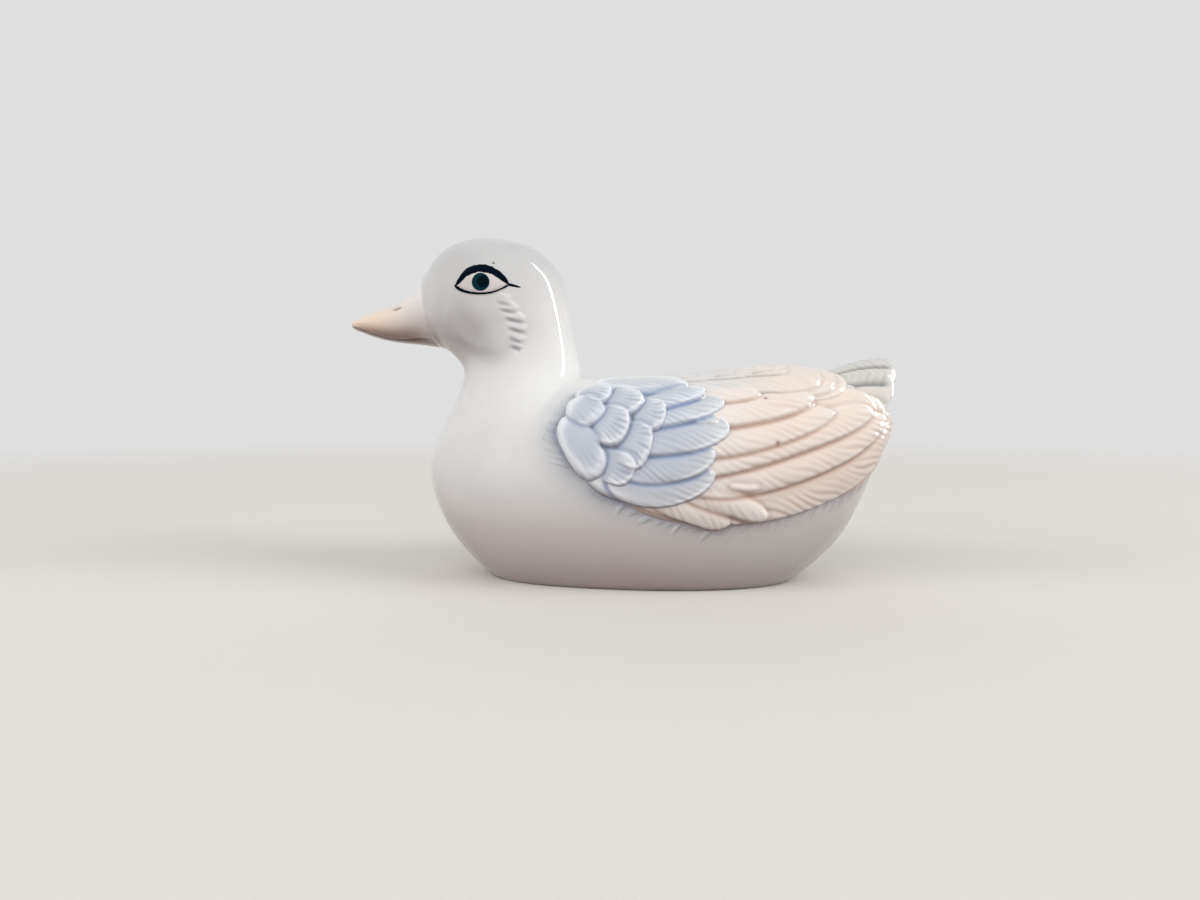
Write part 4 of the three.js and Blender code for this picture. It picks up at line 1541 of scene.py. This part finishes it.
@dataclass
class Body:
    """The hollow casting of body, neck and head, with its wall, its flat foot and the kiln vent."""

    hull: Hull
    wing: Wing
    bill: Bill
    rings: int = 363
    sides: int = 248
    inner_rings: int = 91
    inner_sides: int = 62
    # Sizes in mm, and how many cells of a grid's floor the vent takes each way
    wall: float = 3.2
    vent_x: float = 6.0
    vent_radius: float = 4.0
    foot_round: float = 0.8
    vent_cells: int = 6
    cheek: Feather = Feather((22.2, 121), (20.6, 104), (19.4, 82), 7.0, 6.4, 1.0)
    # Root and tip of the tufts on the rear of the cheek, from the top down
    tufts: tuple[tuple[Place, Place], ...] = (
        ((21.95, 80), (21.55, 69)),
        ((21.55, 81), (20.95, 66.5)),
        ((21.0, 80), (20.2, 66)),
        ((20.4, 82), (19.5, 68.5)),
        ((19.75, 85), (18.9, 72)),
        ((19.2, 86), (18.5, 75)),
    )

    def spread(self) -> Array:
        """Where the casting's rings go.

        Returns:
            Stations, even along the hull and closer where its relief is finest.
        """
        fine = np.linspace(0, self.hull.last, 1200)
        travel = np.linalg.norm(np.diff(self.hull.point(fine, 110.0), axis=0), axis=-1) + 0.01
        middle = (fine[1:] + fine[:-1]) / 2
        density = 1 + 0.9 * window(middle, 2, 3, 7, 8.5) + 1.4 * window(middle, 18, 18.6, 22.5, 24)
        return even(fine, travel * density, self.rings + 2)[1:-1]

    def turns(self) -> Array:
        """Where the points of a ring go.

        Returns:
            Degrees all the way round, closer beside the wing's lower edge and alike on both sides.
        """
        fine = np.linspace(0, 180, 721)
        density = 1 + 0.8 * window(fine, 84, 94, 112, 122)
        left = even(fine, (density[1:] + density[:-1]) / 2, self.sides // 2 + 1)
        return np.concatenate([left, 360 - left[-2:0:-1]])

    def relief(self, station: Array, degrees: Array) -> tuple[Array, dict[str, Array]]:
        """The body's own relief and colour masks.

        Args:
            station: Stations of the grid.
            degrees: Degrees of the grid, folded onto the left side.

        Returns:
            Heights in mm, and the masks.
        """
        point = self.hull.point(station, degrees)
        x, y, z = np.moveaxis(point, -1, 0)
        height = np.zeros_like(x)
        away = np.full(x.shape, -NOWHERE)
        beside = (station > 0.3) & (station < 13) & (degrees < 140)
        away[beside] = -self.wing.reach(point[beside])
        pool = wing_line(away) * (away < 5)
        masks = self.wing.overspray_and_shade(station, degrees, away)
        head = (station > 16) & (station < 25.5) & (degrees > 40) & (degrees < 150)
        height[head], pool[head] = self.cheeks(point[head], station[head], degrees[head])

        rows = np.array(self.bill.lines)
        top, bottom, half = (np.interp(x, rows[:, 0], rows[:, k]) for k in (1, 2, 3))
        middle, tall = (top + bottom) / 2, (top - bottom) / 2
        ellipse = np.hypot(y / half, (z - middle) / tall)
        past = np.clip(ellipse - 1, 0, 9)
        face = smoothstep(-43, -46, x) * (station > 18)
        lower = smoothstep(middle + 0.1 * tall, middle - 0.6 * tall, z)
        height += 0.5 * bump((ellipse - 1.13) / 0.1) * face * smoothstep(middle - 0.9 * tall, middle, z)
        height += 0.8 * np.exp(-past / 0.18) * face * lower
        # The throat and the bill's joint get painted shade
        throat = smoothstep(128, 165, degrees) * window(station, 16.5, 18, 22.5, 24.5)
        pool += 0.3 * throat
        pool += 0.12 * bump((ellipse - 1.02) / 0.12) * face * smoothstep(middle - tall, middle, z)

        # Painted shade low down: on the belly and at the foot, under the bill's lower joint and at the
        # throat
        belly = smoothstep(28, 8, z) * lerp(1.0, 0.3, smoothstep(0, 40, x)) * (station < 17)
        masks["painted_shade"] += 0.8 * bump(past / 0.16) * face * smoothstep(middle, middle - tall, z)
        masks["painted_shade"] += 0.4 * throat + 0.6 * belly + 0.3 * smoothstep(7, 1, z)
        # Painted shade that greys the head, the higher the greyer
        masks["crown"] = smoothstep(66, 85, z)
        masks["pool"] = np.clip(pool, 0, 1)
        return height, masks

    def cheeks(self, point: Array, station: Array, degrees: Array) -> tuple[Array, Array]:
        """The cheek's swelling and the tufts on its rear.

        Args:
            point: Points of the head in mm, one row each.
            station: Their stations.
            degrees: Their degrees.

        Returns:
            Heights in mm, and where pooled glaze and painted shade darken it: round the cheek's rear, over
            its lower half and under each tuft.
        """
        at = self.cheek.local(self.hull, point)
        rear = np.maximum(smoothstep(20.6, 19.4, station), smoothstep(108, 122, degrees))
        height = lerp(0.25 * smoothstep(-6, 5, at.inside), 0.6 * smoothstep(-1.8, 2.4, at.inside), rear)
        # Painted shade round the cheek's rear edge and over its lower half
        pool = 0.2 * bump((at.inside + 1.2) / 1.5) * rear
        pool += 0.34 * smoothstep(90, 108, degrees) * smoothstep(-4, 3, at.inside)
        for order, (root, tip) in enumerate(self.tufts):
            strength = 0.45 + 0.55 * smoothstep(0.0, 2.0, order)
            bend = (lerp(root[0], tip[0], 0.55) + 0.12, lerp(root[1], tip[1], 0.5))
            at = Feather(root, bend, tip, 1.25, 1.15, 0.4).local(self.hull, point)
            mask = smoothstep(-0.35, 0.75, at.inside) * smoothstep(0.0, 0.7, at.share)
            # Under each tuft the surface dips and gets painted shade
            under = bump((at.side + 1.3) / 0.5) * window(at.share, 0.1, 0.6, 0.95, 1.15)
            height += strength * (0.6 * mask - 0.45 * under)
            pool += 0.45 * strength * under
        return height, pool

    def open_vent(self, point: Array) -> tuple[Array, Array, Array]:
        """Opens the vent in a grid's floor.

        A block of cells round the vent's axis goes, and the floor's points move toward or away from
        the axis until the block's border is the vent's circle. A point keeps its share of the way
        from that border to where the floor stays as it was.

        Args:
            point: The grid's points.

        Returns:
            The moved points in one list, the border's vertex numbers in order, and which of the grid's
            cells stay.
        """
        index = numbers(point)
        keel = index.shape[1] // 2
        row = int(np.abs(point[:, keel, 0] - self.vent_x).argmin())
        step = self.vent_cells // 2
        block = index[row - step : row + step + 1, keel - step : keel + step + 1]
        ring = np.concatenate([block[:-1, 0], block[-1, :-1], block[:0:-1, -1], block[0, :0:-1]])
        flat = point.reshape(-1, 3).copy()
        centre = np.array((self.vent_x, 0.0))
        offset = flat[:, :2] - centre
        radius = np.hypot(*offset.T)
        bearing = np.arctan2(offset[:, 1], offset[:, 0])
        order = np.argsort(bearing[ring])
        border = np.interp(bearing, bearing[ring][order], radius[ring][order], period=2 * np.pi)
        end = 2.2 * max(self.vent_radius, border.max())
        floor = (radius < end) & (radius > border - 1e-6) & (np.abs(flat[:, 2] - point[row, keel, 2]) < 0.5)
        floor[ring] = True
        moved = self.vent_radius + (radius - border) * (end - self.vent_radius) / (end - border)
        scale = np.where(floor, moved / np.maximum(radius, 1e-6), 1)
        flat[:, :2] = centre + offset * scale[:, None]
        cells = np.ones((index.shape[0] - 1, index.shape[1]), bool)
        cells[row - step : row + step, keel - step : keel + step] = False
        return flat, ring, cells.ravel()

    def skin(self, point: Array, start: int, poles: int) -> tuple[Array, Array, list[Array]]:
        """One of the casting's two surfaces.

        Args:
            point: Its grid of points.
            start: The first one's vertex number.
            poles: The vertex number of the pole on the rump, one less than that of the crown's.

        Returns:
            Its points with the vent opened, the vent's border, and its faces.
        """
        flat, ring, cells = self.open_vent(point)
        index = numbers(point, start)
        before = np.roll(index, -1, 1)
        rump = np.stack([np.full(index.shape[1], poles), index[0], before[0]], -1)
        crown = np.stack([np.full(index.shape[1], poles + 1), before[-1], index[-1]], -1)
        return flat, ring + start, [grid_faces(index, closed=True)[cells], rump, crown]

    def build(self) -> None:
        """Builds and dresses the casting as one closed mesh: outside, inside and the vent between them."""
        station, degrees = np.meshgrid(self.spread(), self.turns(), indexing="ij")
        height, masks = self.relief(station, np.where(degrees > 180, 360 - degrees, degrees))
        outer = self.hull.raised(station, degrees, height)
        r = self.foot_round
        z = outer[..., 2]
        masks["bare"] = smoothstep(-0.9 * r, -1.3 * r, z)
        # Painted shade just above the foot
        masks["pool"] = np.clip(masks["pool"] + 0.35 * smoothstep(1.2, -0.4, z) * (1 - masks["bare"]), 0, 1)
        outer[..., 2] = np.where(z < -r, 0, np.where(z < r, (z + r) ** 2 / (4 * r), z))

        stations = np.linspace(0, self.hull.last, self.inner_rings + 2)[1:-1]
        turns = np.linspace(0, 360, self.inner_sides, endpoint=False)
        station, degrees = np.meshgrid(stations, turns, indexing="ij")
        inner = self.hull.raised(station, degrees, np.full(station.shape, -self.wall))
        inner[..., 2] = np.maximum(inner[..., 2], self.wall)

        start, poles = z.size, z.size + station.size
        outer_flat, outer_ring, outer_faces = self.skin(outer, 0, poles)
        inner_flat, inner_ring, inner_faces = self.skin(inner, start, poles + 2)
        ends = self.hull.point(np.array((0.0, self.hull.last)), 0.0)
        inward = np.array(((-self.wall, 0, 0), (0, 0, -self.wall)))
        points = np.concatenate([outer_flat, inner_flat, ends, ends + inward])
        faces = [*outer_faces, *(part[:, ::-1] for part in inner_faces)]
        faces.append(self.vent_wall(points, outer_ring, inner_ring))
        rest = np.zeros(len(points) - start)
        masks = {key: np.concatenate([value.ravel(), rest]) for key, value in masks.items()}
        masks["bare"][start:poles] = 1.0
        piece = Shell(points, faces, masks).piece("porcelain_casting")
        finish_piece(piece, WHITE_GLAZE.material(), "white_glaze", "body_shell", "head_and_neck")

    def vent_wall(self, points: Array, outer: Array, inner: Array) -> Array:
        """The vent's wall.

        Args:
            points: All the casting's points.
            outer: Vertex numbers of the outer circle, in order.
            inner: Those of the inner one, as many.

        Returns:
            Faces that join each point of the outer circle to the inner one at the same bearing.
        """
        away = [points[ring, :2] - (self.vent_x, 0.0) for ring in (outer, inner)]
        first, second = (np.arctan2(side[:, 1], side[:, 0]) for side in away)
        shift = int(np.abs(np.angle(np.exp(1j * (second - first[0])))).argmin())
        inner = np.roll(inner, -shift)
        return np.stack([outer, inner, np.roll(inner, -1), np.roll(outer, -1)], -1)


# Setting


@dataclass(frozen=True)
class Lamp:
    """An area lamp that faces the duck, with its place, its width and height in metres, and its watts.

    A mirrored one is only seen as its image in the glaze, and any other only lights the duck.
    """

    name: str
    at: tuple[float, float, float]
    size: Place
    power: float
    mirrored: bool = False

    AIM = (0.0, 0.0, 0.04)

    def build(self) -> None:
        """Sets up the lamp: a rectangle, or an ellipse where it is mirrored, so that its image tapers."""
        data = bpy.data.lights.new(self.name, "AREA")
        data.shape = "ELLIPSE" if self.mirrored else "RECTANGLE"
        data.size, data.size_y = self.size
        data.energy = self.power
        made = link(self.name, data)
        made.location = self.at
        made.rotation_euler = (Vector(self.AIM) - Vector(self.at)).to_track_quat("-Z", "Y").to_euler()
        made.visible_glossy = self.mirrored
        made.visible_diffuse = not self.mirrored


@dataclass
class Studio:
    """The plain setting: a pale floor, soft lamps, a pale world and the camera. Lengths here are metres."""

    # The photograph's camera: its place, its turn and drop in degrees, and its lens in mm
    camera_at: tuple[float, float, float] = (0.02473, -0.23156, 0.04449)
    camera_turn: float = 7.036
    camera_drop: float = 3.0495
    lens: float = 27.03
    # The floor as it is seen, and as it lights the duck, which stood on brown wood
    floor_colour: str = "#E9E5DF"
    floor_bounce: str = "#50240F"
    # Half its side, how far from the duck it starts and ends to fade, and the size of its grain
    floor_half: float = 3.0
    floor_fade: Place = (0.25, 0.9)
    floor_grain: float = 1 / 900
    # The world's strength as a light, the same overhead, and as it is seen
    world_colour: str = "#F0F0F0"
    world_light: float = 0.5
    ceiling_light: float = 0.4
    world_seen: float = 0.85
    lamps: tuple[Lamp, ...] = (
        Lamp("tall_window", (0.66, 0.16, 0.4), (0.028, 0.7), 4.0, mirrored=True),
        Lamp("front_screen", (-0.35, -1.25, 0.75), (2.4, 1.4), 12.3),
        Lamp("left_screen", (-1.8, -0.9, 0.8), (1.2, 1.2), 11.0),
        Lamp("right_screen", (1.9, -0.45, 0.8), (1.2, 1.2), 25.0),
        Lamp("rear_screen", (-0.3, 1.5, 0.7), (2.4, 1.4), 8.0),
    )

    def build(self) -> None:
        """Sets up camera, floor, world and lamps."""
        bpy.context.scene.view_settings.view_transform = "Standard"
        self.camera()
        self.floor()
        self.world()
        for lamp in self.lamps:
            lamp.build()

    def camera(self) -> None:
        """The camera where the photograph was taken from, turned and dropped by its two angles."""
        turn, drop = math.radians(self.camera_turn), math.radians(self.camera_drop)
        data = bpy.data.cameras.new("camera")
        data.lens, data.sensor_width, data.sensor_fit = self.lens, 36.0, "HORIZONTAL"
        data.clip_start, data.clip_end = 0.01, 50.0
        made = link("camera", data)
        made.location = self.camera_at
        toward = Vector((-math.sin(turn) * math.cos(drop), math.cos(turn) * math.cos(drop), -math.sin(drop)))
        made.rotation_euler = toward.to_track_quat("-Z", "Y").to_euler()
        bpy.context.scene.camera = made

    def floor(self) -> None:
        """A wide pale floor, a matt painted board that fades into the world's colour far from the duck."""
        half = self.floor_half
        corners = [(-half, -half, 0), (half, -half, 0), (half, half, 0), (-half, half, 0)]
        mesh = bpy.data.meshes.new("floor")
        mesh.from_pydata(corners, [], [(0, 1, 2, 3)])
        material = bpy.data.materials.new("matt_painted_board")
        tree = empty_tree(material)
        seen = self.seen(tree)
        place = add_node(tree, "TexCoord", output="Object")
        noise = {"Vector": place, "Scale": 1 / self.floor_grain, "Detail": 2.0}
        grain = add_node(tree, "TexNoise", noise, "Fac")
        blend = {0: seen, 6: linear(self.floor_bounce), 7: linear(self.floor_colour)}
        board = {
            "Base Color": add_node(tree, "Mix", blend, output=2, data_type="RGBA"),
            "Roughness": 0.6,
            "Specular IOR Level": 0.0,
            "Normal": add_node(tree, "Bump", {"Height": grain, "Strength": 0.2, "Distance": 0.2 * MM}),
        }
        away = add_node(tree, "VectorMath", {0: place}, "Value", operation="LENGTH")
        near, far = self.floor_fade
        fade = add_node(tree, "MapRange", {0: away, 1: near, 2: far}, interpolation_type="SMOOTHSTEP")
        share = add_node(tree, "Math", {0: fade, 1: seen}, operation="MULTIPLY")
        glow = {"Color": linear(self.world_colour), "Strength": self.world_seen}
        shaders = {1: add_node(tree, "BsdfPrincipled", board), 2: add_node(tree, "Emission", glow)}
        add_node(tree, "OutputMaterial", {"Surface": add_node(tree, "MixShader", {0: share, **shaders})})
        mesh.materials.append(material)
        link("floor", mesh)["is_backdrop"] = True

    def world(self) -> None:
        """A pale world: dim as a light, dimmest overhead, and pale where it is seen or mirrored."""
        world = bpy.data.worlds.new("pale_room")
        bpy.context.scene.world = world
        tree = empty_tree(world)
        way = add_node(tree, "TexCoord", output="Generated")
        up = add_node(tree, "SeparateXYZ", {0: way}, "Z")
        levels = {3: self.world_light, 4: self.ceiling_light}
        dim = add_node(tree, "MapRange", {0: up, 1: 0.3, 2: 1.0, **levels})
        strength = add_node(tree, "MapRange", {0: self.seen(tree), 3: dim, 4: self.world_seen})
        glow = {"Color": linear(self.world_colour), "Strength": strength}
        add_node(tree, "OutputWorld", {"Surface": add_node(tree, "Background", glow)})

    @staticmethod
    def seen(tree: bpy.types.NodeTree) -> bpy.types.NodeSocket:
        """Whether a ray sees the setting, or gathers light from it.

        Args:
            tree: The node tree to add to.

        Returns:
            1 for a ray from the camera, a reflection or a refraction, and 0 for any other.
        """
        rays = ("Camera", "Glossy", "Transmission")
        camera, glossy, through = (add_node(tree, "LightPath", output=f"Is {ray} Ray") for ray in rays)
        either = add_node(tree, "Math", {0: camera, 1: glossy}, operation="MAXIMUM")
        return add_node(tree, "Math", {0: either, 1: through}, operation="MAXIMUM")


def main() -> None:
    """Builds the duck and its setting in order."""
    logging.basicConfig(level=logging.INFO, format="%(name)s: %(message)s")
    hull = Hull()
    wing, bill = Wing(hull), Bill(hull)
    for part in (Body(hull, wing, bill), bill, Eye(hull), wing, Mantle(hull), TailFan(hull), Studio()):
        part.build()


if __name__ == "__main__":
    main()
